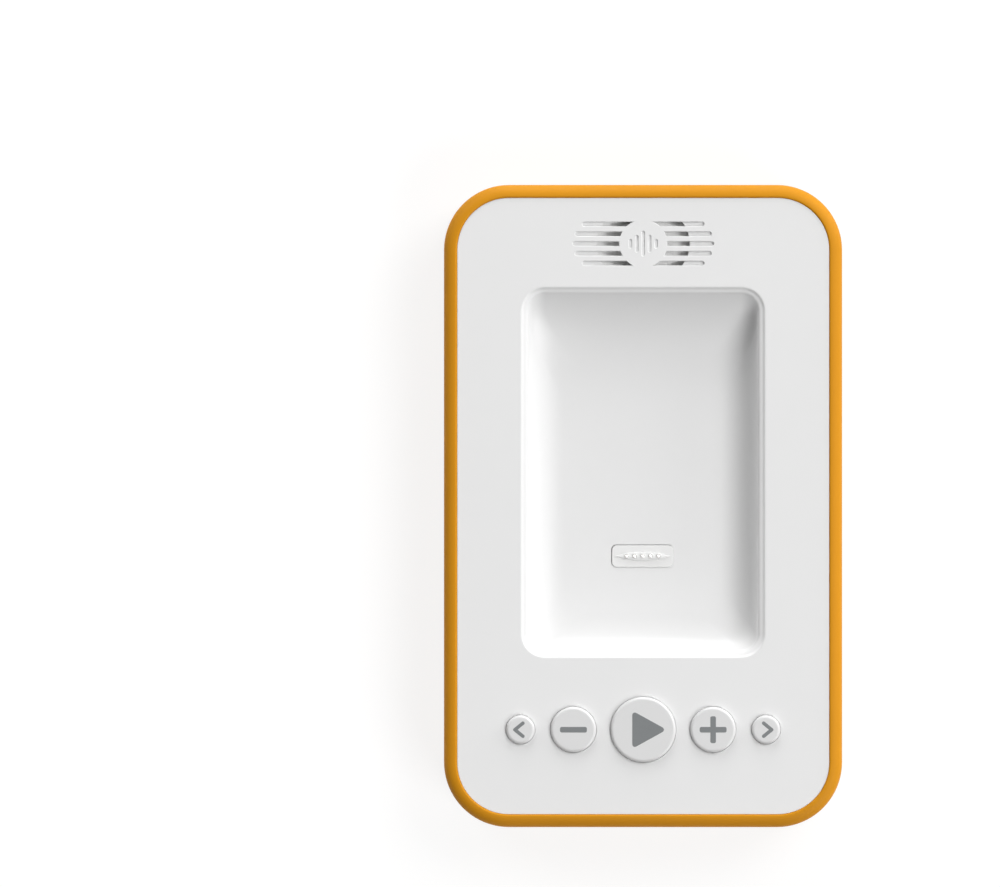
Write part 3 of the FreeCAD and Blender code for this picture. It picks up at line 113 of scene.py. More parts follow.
# Grille
GRILLE_Y = 65.3
SLOT_PITCH = 2.44
SLOT_WIDTH = 1.15
SLOT_REACH = {0: 17.6, 1: 17.0, 2: 15.2}
SLOT_DEPTH = 0.5
BAR_THICKNESS = 0.65
SLOT_EDGE = 0.1
DISC = 6.0
SOUND_REACH = 11.7
SOUND_ROUND = 8.5
SOUND_LEDGE = 0.1
PLUG = 5.85
CLOTH_HALF = 5.7
CLOTH_GAP = 0.1
# Heights of the dust cloth from the disc out to the end of the recess, on the left and on the right
CLOTH_RISE = {-1: (20.7, 20.7, 21.3, 22.1, 22.22), 1: (22.1, 22.1, 22.05, 21.2, 20.6)}

DISC_BARS = ((-3.2, 2.4), (-1.6, 4.4), (0.0, 6.4), (1.6, 4.4), (3.2, 2.4))
DISC_BAR_WIDTH = 0.9
DISC_BAR_DEPTH = 0.3
DISC_BAR_EDGE = 0.08

# Buttons: name, radius, middle
ROW_Y = -55.6
BUTTONS = (("previous", 3.65, -30.54), ("volume_down", 5.75, -17.37), ("play", 8.2, 0.0),
           ("volume_up", 5.75, 17.37), ("next", 3.65, 30.54))
BUTTON_GAP = 0.03
BUTTON_TRIM = 0.05
BUTTON_ROUND = 0.8
BUTTON_HOLD = 0.12
HOLE_EDGE = 0.05
SYMBOL_DEPTH = 0.4
SYMBOL_PROUD = 0.03
SYMBOL_EDGE = 0.04
FLANGE_EXTRA = 0.9
FLANGE = 0.8
STEM_RADIUS = 1.6
STEM_LENGTH = 1.2
PLAY_BACK = 2.75
PLAY_REACH = 5.85
PLAY_SIDE = 9.5
PLAY_ROUND = 0.75
PLAY_SPREAD = 1.7
DASH_LENGTH = 6.7
DASH_WIDTH = 1.4
DASH_ROUND = 0.45
ARROW_SLOPE = 39.0
ARROW_WIDTH = 0.87
ARROW_RUN = 2.57
ARROW_SHIFT = 0.4

# Feet
FOOT_RADIUS = 4.15
FOOT_TIP = 1.3
FOOT_DOME = 1.2

# Contact block and its pins
BLOCK_WIDTH = 15.3
BLOCK_LENGTH = 5.5
BLOCK_CORNER = 1.2
BLOCK_TOP = 14.1
BLOCK_ROUND = 0.15
BLOCK_HOLD = 0.06
FLANGE_ROOM = 0.1
RIDGE_HALF = 7.0
RIDGE_RISE = 1.1
RIDGE_TOP = 14.35
RIDGE_POINT = 4
# How far in from the foot of the ridge and how high, up its slope
RIDGE_SLOPE = ((-0.05, BLOCK_TOP), (0.0, BLOCK_TOP), (0.04, RIDGE_TOP - 0.1), (0.1, RIDGE_TOP - 0.03),
               (0.16, RIDGE_TOP))
PIN_PITCH = 2.0
PIN_RADIUS = 0.45
PIN_HOLE = 0.5

CORNER_STEPS = 20
ROUND_STEPS = 8
CIRCLE_STEPS = 96
PIN_STEPS = 32
# A second loop this far from an edge keeps the shading of the flat beside it even
HOLD = 0.3
# Round ends stop this far short of half circles, so that no edge shrinks to a point
SHORT = 0.01
# Fills are made at this angle to the axes, because points that line up with an axis confuse them
FILL_TURN = 0.37
SAME_LEVEL = 0.001


# ---------------------------------------------------------------- meshes

def quarter(steps=ROUND_STEPS):
    """Angles from 0 to 90 degrees."""
    return [pi / 2 * step / steps for step in range(steps + 1)]


def shift(bm, verts, x=0.0, y=0.0, z=0.0):
    bmesh.ops.translate(bm, vec=(x, y, z), verts=verts)


def edges_of(verts):
    inside = set(verts)
    return [e for e in {e for v in verts for e in v.link_edges} if all(v in inside for v in e.verts)]


def round_corners(bm, verts, radius, steps=CORNER_STEPS):
    """Rounds the corners of a flat outline and gives its points back."""
    kept = set(bm.verts) - set(verts)
    bmesh.ops.bevel(bm, geom=verts, affect="VERTICES", offset_type="OFFSET", offset=radius,
                    segments=steps, profile=0.5, material=-1)
    return [v for v in bm.verts if v not in kept]


def outline(bm, width, length, corner, z, x=0.0, y=0.0, steps=CORNER_STEPS):
    """The closed edge loop of a rounded rectangle."""
    verts = bmesh.ops.create_grid(bm, x_segments=1, y_segments=1, size=0.5)["verts"]
    bmesh.ops.scale(bm, vec=(width, length, 1.0), verts=verts)
    verts = round_corners(bm, verts, corner, steps)
    shift(bm, verts, x, y, z)
    bmesh.ops.delete(bm, geom=list({f for v in verts for f in v.link_faces}), context="FACES_ONLY")
    return edges_of(verts)


def ring(bm, radius, z, x=0.0, y=0.0, steps=CIRCLE_STEPS):
    """The closed edge loop of a circle."""
    verts = bmesh.ops.create_circle(bm, cap_ends=False, radius=radius, segments=steps)["verts"]
    shift(bm, verts, x, y, z)
    return edges_of(verts)


def flat(bm, loops, normal=(0.0, 0.0, 1.0)):
    """Fills the flat area between an outer loop and the loops inside it, turned off the axes meanwhile."""
    edges = [e for loop in loops for e in loop]
    verts = list({v for e in edges for v in e.verts})
    bmesh.ops.rotate(bm, cent=(0, 0, 0), matrix=Matrix.Rotation(FILL_TURN, 3, normal), verts=verts)
    bmesh.ops.triangle_fill(bm, use_beauty=True, use_dissolve=False, edges=edges, normal=normal)
    bmesh.ops.rotate(bm, cent=(0, 0, 0), matrix=Matrix.Rotation(-FILL_TURN, 3, normal), verts=verts)


def skin(bm, loops):
    """Joins each loop to the next. Two loops at one level are filled between."""
    for first, second in zip(loops, loops[1:]):
        levels = [v.co.z for e in first + second for v in e.verts]
        if max(levels) - min(levels) < SAME_LEVEL:
            flat(bm, [first, second])
        else:
            bmesh.ops.bridge_loops(bm, edges=first + second)


def drop(bm, loop, x=0.0, y=0.0, z=0.0):
    """Draws a wall out from a loop and gives back the loop at its far end."""
    made = bmesh.ops.extrude_edge_only(bm, edges=loop)["geom"]
    verts = [g for g in made if isinstance(g, bmesh.types.BMVert)]
    shift(bm, verts, x, y, z)
    return edges_of(verts)


def cap(bm, loop):
    return bmesh.ops.contextual_create(bm, geom=loop)["faces"]


def open_face(bm, point):
    """Takes out the face whose middle is nearest to a point and gives back its edge loop."""
    target = Vector(point)
    face = min(bm.faces, key=lambda f: (f.calc_center_median() - target).length)
    loop = list(face.edges)
    bmesh.ops.delete(bm, geom=[face], context="FACES_ONLY")
    return loop


def sink_bar(bm, x, y, width, tall, z, depth, edge):
    """A shallow bar with round ends, sunk by a signed depth; gives back the loop of its mouth."""
    inset = width - 2 * edge
    first = edge if depth > 0 else -edge
    mouth = outline(bm, width, tall, width / 2 - SHORT, z, x, y)
    wall = outline(bm, inset, tall - 2 * edge, inset / 2 - SHORT, z + first, x, y)
    skin(bm, [mouth, wall])
    cap(bm, drop(bm, wall, z=depth - first))
    return mouth


def turn_to_wall(bm, loop, y):
    """Stands a flat loop drawn in x and z upright, in the plane of the bottom wall."""
    verts = list({v for e in loop for v in e.verts})
    bmesh.ops.rotate(bm, cent=(0, 0, 0), matrix=Matrix.Rotation(pi / 2, 3, "X"), verts=verts)
    shift(bm, verts, y=y)


def piece(name, bm, body, finish, slot, *nodes, angle=40.0):
    """Turns a mesh in millimetres into a finished piece that stands for CAD nodes."""
    bmesh.ops.remove_doubles(bm, verts=bm.verts, dist=0.0005)
    bmesh.ops.recalc_face_normals(bm, faces=bm.faces)
    bmesh.ops.scale(bm, vec=(MM, MM, MM), verts=bm.verts)
    mesh = bpy.data.meshes.new(name)
    bm.to_mesh(mesh)
    bm.free()
    mesh.shade_smooth()
    mesh.set_sharp_from_angle(angle=radians(angle))
    mesh.materials.append(finish)
    thing = bpy.data.objects.new(name, mesh)
    bpy.context.scene.collection.objects.link(thing)
    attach(thing, body)
    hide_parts(*nodes)
    return thing


# ---------------------------------------------------------------- finishes

class Nodes:
    """A small helper that adds and links shader nodes of one material."""

    def __init__(self, name):
        self.material = bpy.data.materials.new(name)
        self.material.use_nodes = True
        self.tree = self.material.node_tree
        self.shader = self.tree.nodes["Principled BSDF"]
        self.place = self.add("ShaderNodeTexCoord").outputs["Object"]

    def add(self, kind, links=(), **settings):
        node = self.tree.nodes.new(kind)
        for key, setting in settings.items():
            if hasattr(node, key):
                setattr(node, key, setting)
            else:
                node.inputs[key.replace("_", " ")].default_value = setting
        for socket, source in dict(links).items():
            self.tree.links.new(source, node.inputs[socket])
        return node

    def noise(self, scale, detail=2.0, roughness=0.5, place=None):
        node = self.add("ShaderNodeTexNoise", {"Vector": place or self.place}, Scale=scale, Detail=detail,
                        Roughness=roughness)
        return node.outputs["Fac"]

    def spread(self, value, low, high, start=0.3, end=0.7):
        """Maps a value from between start and end to between low and high."""
        node = self.add("ShaderNodeMapRange", {"Value": value}, From_Min=start, From_Max=end, To_Min=low,
                        To_Max=high)
        return node.outputs["Result"]

    def blend(self, factor, first, second):
        """Mixes two colours."""
        node = self.add("ShaderNodeMix", data_type="RGBA")
        for socket, source in ((0, factor), (6, first), (7, second)):
            if isinstance(source, bpy.types.NodeSocket):
                self.tree.links.new(source, node.inputs[socket])
            else:
                node.inputs[socket].default_value = source if socket == 0 else (*source, 1.0)
        return node.outputs[2]

    def math(self, operation, first, second=0.0):
        node = self.add("ShaderNodeMath", operation=operation)
        for socket, source in ((0, first), (1, second)):
            if isinstance(source, bpy.types.NodeSocket):
                self.tree.links.new(source, node.inputs[socket])
            else:
                node.inputs[socket].default_value = source
        return node.outputs[0]

    def use(self, **sockets):
        for key, source in sockets.items():
            socket = self.shader.inputs[key.replace("_", " ")]
            if isinstance(source, bpy.types.NodeSocket):
                self.tree.links.new(source, socket)
            else:
                socket.default_value = source

    def bump(self, height, distance, strength=1.0, after=None):
        links = {"Height": height}
        if after is not None:
            links["Normal"] = after
        node = self.add("ShaderNodeBump", links, Distance=distance, Strength=strength)
        self.use(Normal=node.outputs["Normal"])
        return node.outputs["Normal"]


def shaded(colour, factor):
    return tuple(min(1.0, c * factor) for c in colour)


def moulded(name, colour, roughness=0.4, tint=0.03, grain=2200.0, depth=2.5e-6, gloss=0.5):
    """Moulded plastic: a fine spark-eroded skin, slow tone drift and uneven gloss."""
    n = Nodes(name)
    slow = n.noise(35.0, 3.0, 0.55)
    fine = n.noise(grain, 4.0, 0.6)
    base = n.blend(n.spread(slow, 0.0, 1.0), shaded(colour, 1.0 - tint), shaded(colour, 1.0 + tint))
    speckled = n.blend(n.spread(fine, 0.0, 0.35), base, shaded(colour, 1.0 - 2.0 * tint))
    polish = n.spread(n.noise(260.0, 3.0), roughness - 0.04, roughness + 0.06)
    n.use(Base_Color=speckled, Roughness=polish, Specular_IOR_Level=gloss)
    n.bump(fine, depth)
    return n.material


def metal(name, colour, roughness=0.3, brushed=False, metallic=1.0):
    """Plated or drawn metal, with stains and fine scratches along one way."""
    n = Nodes(name)
    place = n.place
    if brushed:
        place = n.add("ShaderNodeMapping", {"Vector": n.place}, Scale=(1.0, 0.04, 1.0)).outputs["Vector"]
    marks = n.noise(5200.0, 4.0, 0.65, place)
    stain = n.noise(420.0, 3.0)
    n.use(Base_Color=n.blend(n.spread(stain, 0.0, 1.0), shaded(colour, 0.86), shaded(colour, 1.08)),
          Roughness=n.spread(marks, roughness - 0.08, roughness + 0.12), Metallic=metallic)
    n.bump(marks, 1.5e-6)
    return n.material


def rubbery(name, colour, roughness=0.65, grain=1500.0, depth=6e-6):
    """Soft rubber or foam with open pores and a dull, dusty sheen."""
    n = Nodes(name)
    pores = n.add("ShaderNodeTexVoronoi", {"Vector": n.place}, Scale=grain).outputs["Distance"]
    dust = n.noise(240.0, 3.0)
    n.use(Base_Color=n.blend(n.spread(dust, 0.0, 0.6), colour, shaded(colour, 1.35)),
          Roughness=n.spread(pores, roughness - 0.05, roughness + 0.15, 0.0, 0.8), Sheen_Weight=0.15,
          Sheen_Roughness=0.5)
    n.bump(pores, depth)
    return n.material


def woven(name, colour, pitch=0.2e-3):
    """Plain-woven dust cloth: warp and weft threads that pass over and under each other."""
    n = Nodes(name)
    threads = []
    for way in ("X", "Y"):
        wave = n.add("ShaderNodeTexWave", {"Vector": n.place}, wave_type="BANDS", bands_direction=way,
                     Scale=pi / (pitch * 20.0), Distortion=0.4, Detail=1.0)
        threads.append(wave.outputs["Fac"])
    weave = n.math("MULTIPLY", threads[0], threads[1])
    fluff = n.noise(3000.0, 4.0, 0.7)
    n.use(Base_Color=n.blend(weave, shaded(colour, 0.9), n.blend(fluff, colour, shaded(colour, 1.06))),
          Roughness=0.9, Sheen_Weight=0.2, Sheen_Roughness=0.6)
    n.bump(weave, 2e-5, 0.6)
    return n.material


def fibrous(name, colour, roughness=0.85):
    """Pressed paper pulp with matted fibres."""
    n = Nodes(name)
    long_way = n.add("ShaderNodeMapping", {"Vector": n.place}, Scale=(1.0, 0.2, 1.0)).outputs["Vector"]
    fibres = n.noise(2400.0, 6.0, 0.75, long_way)
    clouds = n.noise(500.0, 3.0)
    n.use(Base_Color=n.blend(n.math("MULTIPLY", fibres, clouds), shaded(colour, 0.7), shaded(colour, 1.5)),
          Roughness=n.spread(fibres, roughness - 0.1, roughness + 0.1))
    n.bump(fibres, 2e-5)
    return n.material


def circuit(name):
    """Green solder mask with faint copper tracks in a grid of runs, and a glass weave below it."""
    n = Nodes(name)
    cells = n.add("ShaderNodeTexVoronoi", {"Vector": n.place}, distance="CHEBYCHEV", feature="F1",
                  Scale=420.0).outputs["Distance"]
    tracks = n.spread(cells, 0.0, 1.0, 0.30, 0.33)
    weave = n.noise(1800.0, 2.0)
    mask = n.blend(n.spread(weave, 0.0, 1.0), (0.010, 0.085, 0.030), (0.014, 0.115, 0.042))
    n.use(Base_Color=n.blend(tracks, mask, (0.03, 0.21, 0.075)), Roughness=n.spread(weave, 0.25, 0.4),
          Coat_Weight=0.3, Coat_Roughness=0.2)
    n.bump(tracks, 2.5e-5)
    return n.material


def wrapped(name, colour):
    """Crinkled foil pouch."""
    n = Nodes(name)
    folds = n.noise(160.0, 5.0, 0.6)
    creases = n.add("ShaderNodeTexVoronoi", {"Vector": n.place}, feature="DISTANCE_TO_EDGE",
                    Scale=110.0).outputs["Distance"]
    n.use(Base_Color=n.blend(n.spread(folds, 0.0, 1.0), shaded(colour, 0.85), shaded(colour, 1.1)),
          Metallic=0.85, Roughness=n.spread(folds, 0.28, 0.45))
    n.bump(n.math("ADD", folds, n.spread(creases, 0.0, 1.0, 0.0, 0.2)), 4e-5)
    return n.material


FINISHES = {
    "orange_shell": moulded("orange_shell", (0.62, 0.258, 0.010), 0.5, 0.02, 1800.0, 3.0e-6, gloss=0.12),
    "orange_foot": moulded("orange_foot", (0.62, 0.258, 0.010), 0.55, 0.03, 1400.0, 4.0e-6, gloss=0.12),
    "white_panel": moulded("white_panel", (0.768, 0.768, 0.767), 0.38, 0.006, 2400.0, 1.5e-6),
    "white_button": moulded("white_button", (0.68, 0.68, 0.68), 0.34, 0.008, 2400.0, 1.5e-6),
    "white_block": moulded("white_block", (0.79, 0.79, 0.785), 0.36, 0.01, 2600.0, 1.5e-6),
    "grey_symbol": moulded("grey_symbol", (0.178, 0.188, 0.192), 0.45, 0.05, 2600.0, 2.0e-6),
    "plunger_plastic": moulded("plunger_plastic", (0.045, 0.045, 0.05), 0.4, 0.08, 3000.0),
    "switch_housing": moulded("switch_housing", (0.03, 0.03, 0.033), 0.5, 0.1, 2600.0),
    "circuit_board": circuit("circuit_board"),
    "chip_black": moulded("chip_black", (0.022, 0.022, 0.024), 0.6, 0.12, 4200.0, 5.0e-6),
    "capacitor_tan": moulded("capacitor_tan", (0.42, 0.27, 0.13), 0.4, 0.1, 3600.0),
    "inductor_grey": moulded("inductor_grey", (0.09, 0.09, 0.095), 0.55, 0.15, 2200.0, 8.0e-6),
    "socket_steel": metal("socket_steel", (0.56, 0.56, 0.58), 0.28, brushed=True),
    "socket_black": moulded("socket_black", (0.025, 0.025, 0.027), 0.42, 0.1, 2600.0),
    "grille_cloth": woven("grille_cloth", (0.80, 0.80, 0.795)),
    "foam": rubbery("foam", (0.06, 0.06, 0.065), 0.85, 900.0, 4e-5),
    "basket_plastic": moulded("basket_plastic", (0.035, 0.035, 0.038), 0.5, 0.1, 1800.0),
    "magnet_nickel": metal("magnet_nickel", (0.62, 0.60, 0.56), 0.22),
    "cone_paper": fibrous("cone_paper", (0.05, 0.05, 0.055)),
    "surround_rubber": rubbery("surround_rubber", (0.03, 0.03, 0.032)),
    "coil_copper": metal("coil_copper", (0.72, 0.32, 0.16), 0.35, brushed=True),
    "contact_silver": metal("contact_silver", (0.86, 0.85, 0.83), 0.34),
    "barrel_brass": metal("barrel_brass", (0.70, 0.52, 0.22), 0.3),
    "cable_film": moulded("cable_film", (0.50, 0.24, 0.05), 0.3, 0.08, 1200.0),
    "battery_foil": wrapped("battery_foil", (0.62, 0.63, 0.65)),
    "plug_white": moulded("plug_white", (0.66, 0.65, 0.60), 0.45, 0.03, 2200.0),
    "lead_red": moulded("lead_red", (0.55, 0.03, 0.02), 0.4, 0.06, 1500.0),
    "lead_black": moulded("lead_black", (0.02, 0.02, 0.02), 0.4, 0.1, 1500.0),
    "screw_steel": metal("screw_steel", (0.50, 0.50, 0.52), 0.3),
}

for row in frame["record"]["subparts"]:
    node = frame["nodes"][row["node"]]
    node.data.materials.clear()
    node.data.materials.append(FINISHES[row["material_slot"]])


# ---------------------------------------------------------------- tub

def tub_loop(bm, inset, z):
    return outline(bm, TUB_WIDTH - 2 * inset, TUB_LENGTH - 2 * inset, TUB_CORNER - inset, z)


def make_tub():
    bm = bmesh.new()
    outside = [tub_loop(bm, BACK_ROUND * (1 - sin(a)), BACK + BACK_ROUND * (1 - cos(a))) for a in quarter()]
    outside += [tub_loop(bm, RIM_ROUND * (1 - cos(a)), CROWN - RIM_ROUND * (1 - sin(a))) for a in quarter(12)]
    outside += [tub_loop(bm, TUB_WALL - CROWN_EDGE * (1 - sin(a)), CROWN - CROWN_EDGE * (1 - cos(a)))
                for a in quarter(5)]
    inside_round = [tub_loop(bm, TUB_WALL + CAVITY_ROUND * (1 - cos(a)),
                             INSIDE_FLOOR + CAVITY_ROUND * (1 - sin(a))) for a in quarter(5)]
    skin(bm, outside + inside_round)
    cap(bm, inside_round[-1])
    rim = tub_loop(bm, BACK_ROUND + HOLD, BACK)
    skin(bm, [outside[0], rim])
    marks = []
    for side in (-1, 1):
        for end in (-1, 1):
            seat = ring(bm, FOOT_SEAT, BACK, side * FOOT_SPREAD[0], end * FOOT_SPREAD[1])
            cap(bm, drop(bm, seat, z=FOOT_SEAT_DEPTH))
            marks.append(seat)
    for x, tall in BACK_BARS:
        marks.append(sink_bar(bm, x, 0.0, BACK_BAR_WIDTH, tall, BACK, BACK_BAR_DEPTH, BACK_BAR_EDGE))
    flat(bm, [rim] + marks)
    make_port_recesses(bm)
    piece("tub", bm, "case", FINISHES["orange_shell"], "orange_shell", "back_shell")


def make_port_recesses(bm):
    """The charging and headphone recesses in the bottom wall, each with its opening through the wall."""
    outer_y = -TUB_LENGTH / 2
    floor_y = outer_y + RECESS_DEPTH
    inner_y = outer_y + TUB_WALL
    wall_outside = open_face(bm, (0.0, outer_y, (BACK + CROWN) / 2))
    wall_inside = open_face(bm, (0.0, inner_y, (INSIDE_FLOOR + CROWN) / 2))
    mouths = []
    holes = []
    for x, z, width, height, open_width, open_height in PORTS:
        for wide, tall, y, group in ((width, height, outer_y, mouths),
                                     (open_width, open_height, floor_y, holes)):
            loop = outline(bm, wide, tall, tall / 2 - SHORT / 2, 0.0, x, z)
            turn_to_wall(bm, loop, y)
            group.append(loop)
    along = (0.0, 1.0, 0.0)
    flat(bm, [wall_outside] + mouths, along)
    ends = []
    for mouth, hole in zip(mouths, holes):
        floor_edge = drop(bm, mouth, y=RECESS_DEPTH)
        flat(bm, [floor_edge, hole], along)
        ends.append(drop(bm, hole, y=inner_y - floor_y))
    flat(bm, [wall_inside] + ends, along)


# ---------------------------------------------------------------- face plate

def plate_loop(bm, inset, z):
    return outline(bm, PLATE_WIDTH - 2 * inset, PLATE_LENGTH - 2 * inset, PLATE_CORNER - inset, z)


def ramp_lean(inset, depth):
    """How much further in than the other walls the long ramp at the speaker end stands at a depth."""
    if depth <= RAMP_START:
        return 0.0
    share = (depth - RAMP_START) / (FACE - POCKET_FLOOR - RAMP_START)
    return WALL_INSET + RAMP_LENGTH * (1 - (1 - share) ** (1 / RAMP_BEND)) - inset


def pocket_loop(bm, inset, depth, corner=None, lean=0.0):
    corner = POCKET_CORNER - inset if corner is None else corner
    return outline(bm, POCKET_WIDTH - 2 * inset, POCKET_LENGTH - 2 * inset - lean, corner, FACE - depth,
                   y=POCKET_Y - lean / 2)


def pocket_rings(bm):
    """The lip, the short straight wall and the wide blend down to the flat floor, with a ramp at one end."""
    rings = [pocket_loop(bm, inset, depth, lean=ramp_lean(inset, depth)) for inset, depth in LIP]
    wall_corner = POCKET_CORNER - WALL_INSET
    fall = FACE - POCKET_FLOOR - WALL_DEPTH
    for a in quarter(16):
        sideways = 1 - cos(a)
        inset = WALL_INSET + BLEND_WIDTH * sideways
        depth = WALL_DEPTH + fall * sin(a)
        corner = wall_corner + sideways * (FLOOR_CORNER - wall_corner)
        rings.append(pocket_loop(bm, inset, depth, corner, ramp_lean(inset, depth)))
    return rings


def slot_loop(bm, row, side, grow, z):
    """One half of a slot: round at its outer end, and cut by the disc at its inner end."""
    y = row * SLOT_PITCH
    reach = SLOT_REACH[abs(row)] + grow
    half = SLOT_WIDTH / 2 + grow
    verts = bmesh.ops.create_grid(bm, x_segments=1, y_segments=8, size=0.5)["verts"]
    for v in verts:
        v.co.y *= 2 * half
        if v.co.x < 0:
            v.co.x = sqrt((DISC - grow) ** 2 - (y + v.co.y) ** 2)
        else:
            v.co.x = reach - half + sqrt(max(0.0, half ** 2 - v.co.y ** 2))
    shift(bm, verts, y=GRILLE_Y + y, z=z)
    bmesh.ops.scale(bm, vec=(side, 1.0, 1.0), verts=verts)
    bmesh.ops.remove_doubles(bm, verts=verts, dist=0.0001)
    verts = [v for v in verts if v.is_valid]
    rim = [e for e in edges_of(verts) if len(e.link_faces) == 1]
    bmesh.ops.delete(bm, geom=list({f for v in verts for f in v.link_faces}), context="FACES_ONLY")
    rim_set = set(rim)
    inner = [e for e in edges_of(verts) if e not in rim_set]
    bmesh.ops.delete(bm, geom=inner, context="EDGES")
    return rim


def make_slot(bm, row, side):
    """Cuts one half slot and gives back its mouth and the loop of its open part under the bars."""
    mouth = slot_loop(bm, row, side, SLOT_EDGE, FACE)
    wall = slot_loop(bm, row, side, 0.0, FACE - SLOT_EDGE)
    skin(bm, [mouth, wall])
    bottom = drop(bm, wall, z=SLOT_EDGE - SLOT_DEPTH)
    floor = cap(bm, bottom)
    slant = asin(row * SLOT_PITCH / SOUND_ROUND)
    reach = SOUND_REACH - SOUND_LEDGE - SOUND_ROUND * (1 - cos(slant))
    edge = Vector((side * reach, GRILLE_Y + row * SLOT_PITCH, 0.0))
    outward = Vector((side * cos(slant), sin(slant), 0.0))
    geom = floor + list({e for f in floor for e in f.edges}) + list({v for f in floor for v in f.verts})
    cut = bmesh.ops.bisect_plane(bm, geom=geom, plane_co=edge, plane_no=outward)
    faces = [g for g in cut["geom"] if isinstance(g, bmesh.types.BMFace)]
    through = [f for f in faces if (f.calc_center_median() - edge).dot(outward) < 0]
    loop = [e for f in through for e in f.edges]
    bmesh.ops.delete(bm, geom=through, context="FACES_ONLY")
    return mouth, drop(bm, loop, z=SLOT_DEPTH - BAR_THICKNESS)


def make_face_plate():
    bm = bmesh.new()
    skirt = plate_loop(bm, 0.0, SKIRT_END)
    edge = [plate_loop(bm, PLATE_EDGE * (1 - cos(a)), FACE - PLATE_EDGE * (1 - sin(a))) for a in quarter(5)]
    rim = plate_loop(bm, PLATE_EDGE + HOLD, FACE)
    skin(bm, [skirt] + edge + [rim])
    pocket = pocket_rings(bm)
    pocket_rim = pocket_loop(bm, -HOLD, 0.0)
    skin(bm, [pocket_rim] + pocket)
    window = outline(bm, BLOCK_WIDTH + 2 * WINDOW_GAP, BLOCK_LENGTH + 2 * WINDOW_GAP,
                     BLOCK_CORNER + WINDOW_GAP, POCKET_FLOOR, *WINDOW_MIDDLE)
    floor_hold = pocket_loop(bm, WALL_INSET + BLEND_WIDTH + HOLD, FACE - POCKET_FLOOR, FLOOR_CORNER - HOLD,
                             RAMP_LENGTH - BLEND_WIDTH)
    skin(bm, [pocket[-1], floor_hold])
    flat(bm, [floor_hold, window])
    mouths = []
    under = []
    for name, radius, x in BUTTONS:
        hole = radius + BUTTON_GAP
        rings = [ring(bm, hole + HOLE_EDGE * (1 - sin(a)), FACE - HOLE_EDGE * (1 - cos(a)), x, ROW_Y)
                 for a in quarter(4)]
        mouth = ring(bm, hole + HOLE_EDGE + HOLD, FACE, x, ROW_Y)
        skin(bm, [mouth] + rings)
        mouths.append(mouth)
        under.append(drop(bm, rings[-1], z=PLATE_UNDER - FACE + HOLE_EDGE))
    openings = []
    for row in range(-2, 3):
        for side in (-1, 1):
            mouth, below = make_slot(bm, row, side)
            mouths.append(mouth)
            openings.append(below)
    recess = outline(bm, 2 * SOUND_REACH, 2 * SOUND_ROUND, SOUND_ROUND - SHORT, PLATE_UNDER, y=GRILLE_Y)
    plug = ring(bm, PLUG, PLATE_UNDER, 0.0, GRILLE_Y)
    rise = FACE - BAR_THICKNESS - PLATE_UNDER
    flat(bm, [drop(bm, recess, z=rise), drop(bm, plug, z=rise)] + openings)
    cap(bm, plug)
    under.append(recess)
    for x, tall in DISC_BARS:
        mouths.append(sink_bar(bm, x, GRILLE_Y, DISC_BAR_WIDTH, tall, FACE, -DISC_BAR_DEPTH, DISC_BAR_EDGE))
    flat(bm, [rim, pocket_rim] + mouths)
    inner = [plate_loop(bm, SKIRT_WALL, SKIRT_END), plate_loop(bm, SKIRT_WALL, PLATE_UNDER)]
    skin(bm, [skirt] + inner)
    outer_corner = POCKET_CORNER - WALL_INSET + POCKET_WALL
    tray = pocket_loop(bm, WALL_INSET - POCKET_WALL, FACE - PLATE_UNDER, outer_corner)
    flat(bm, [inner[-1], tray] + under)
    sides = [pocket_loop(bm, WALL_INSET - POCKET_WALL + TRAY_ROUND * (1 - cos(a)),
                         FACE - POCKET_UNDER - TRAY_ROUND * (1 - sin(a)),
                         max(outer_corner - TRAY_ROUND * (1 - cos(a)), TRAY_CORNER)) for a in quarter(6)]
    skin(bm, [tray] + sides)
    flat(bm, [sides[-1], drop(bm, window, z=POCKET_UNDER - POCKET_FLOOR)])
    piece("face_plate", bm, "case", FINISHES["white_panel"], "white_panel", "front_panel")


def make_dust_cloth():
    """The cloth lies flat under the plate and bulges into the recess on both sides of the disc."""
    bm = bmesh.new()
    low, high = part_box("grille_cloth")
    width, length = (high.x - low.x) / MM, (high.y - low.y) / MM
    bottom, top = [outline(bm, width, length, length / 2 - SHORT, z / MM, y=GRILLE_Y)
                   for z in (low.z, high.z)]
    cap(bm, bottom)
    skin(bm, [bottom, top])
    feet = []
    for side, levels in CLOTH_RISE.items():
        steps = len(levels) - 1
        verts = bmesh.ops.create_grid(bm, x_segments=steps, y_segments=24, size=0.5)["verts"]
        for v in verts:
            share = v.co.x + 0.5
            y = v.co.y * 2 * CLOTH_HALF
            near = sqrt((PLUG + CLOTH_GAP) ** 2 - y ** 2)
            far = SOUND_REACH - SOUND_ROUND + sqrt((SOUND_ROUND - CLOTH_GAP) ** 2 - y ** 2)
            v.co = Vector((side * (near + (far - near) * share), GRILLE_Y + y, levels[round(share * steps)]))
        foot = drop(bm, [e for e in edges_of(verts) if len(e.link_faces) == 1])
        for v in {v for e in foot for v in e.verts}:
            v.co.z = high.z / MM
        feet.append(foot)
    flat(bm, [top] + feet)
    piece("dust_cloth", bm, "case", FINISHES["grille_cloth"], "grille_cloth", "grille_cloth")


# ---------------------------------------------------------------- buttons

def soften(bm, vert, radius, steps=10):
    """Rounds one corner of a flat outline by a true radius."""
    first, second = [e.other_vert(vert).co - vert.co for e in vert.link_edges if len(e.link_faces) == 1]
    reach = radius / tan(first.angle(second) / 2)
    bmesh.ops.bevel(bm, geom=[vert], affect="VERTICES", offset_type="OFFSET", offset=reach, segments=steps,
                    profile=0.5, material=-1)


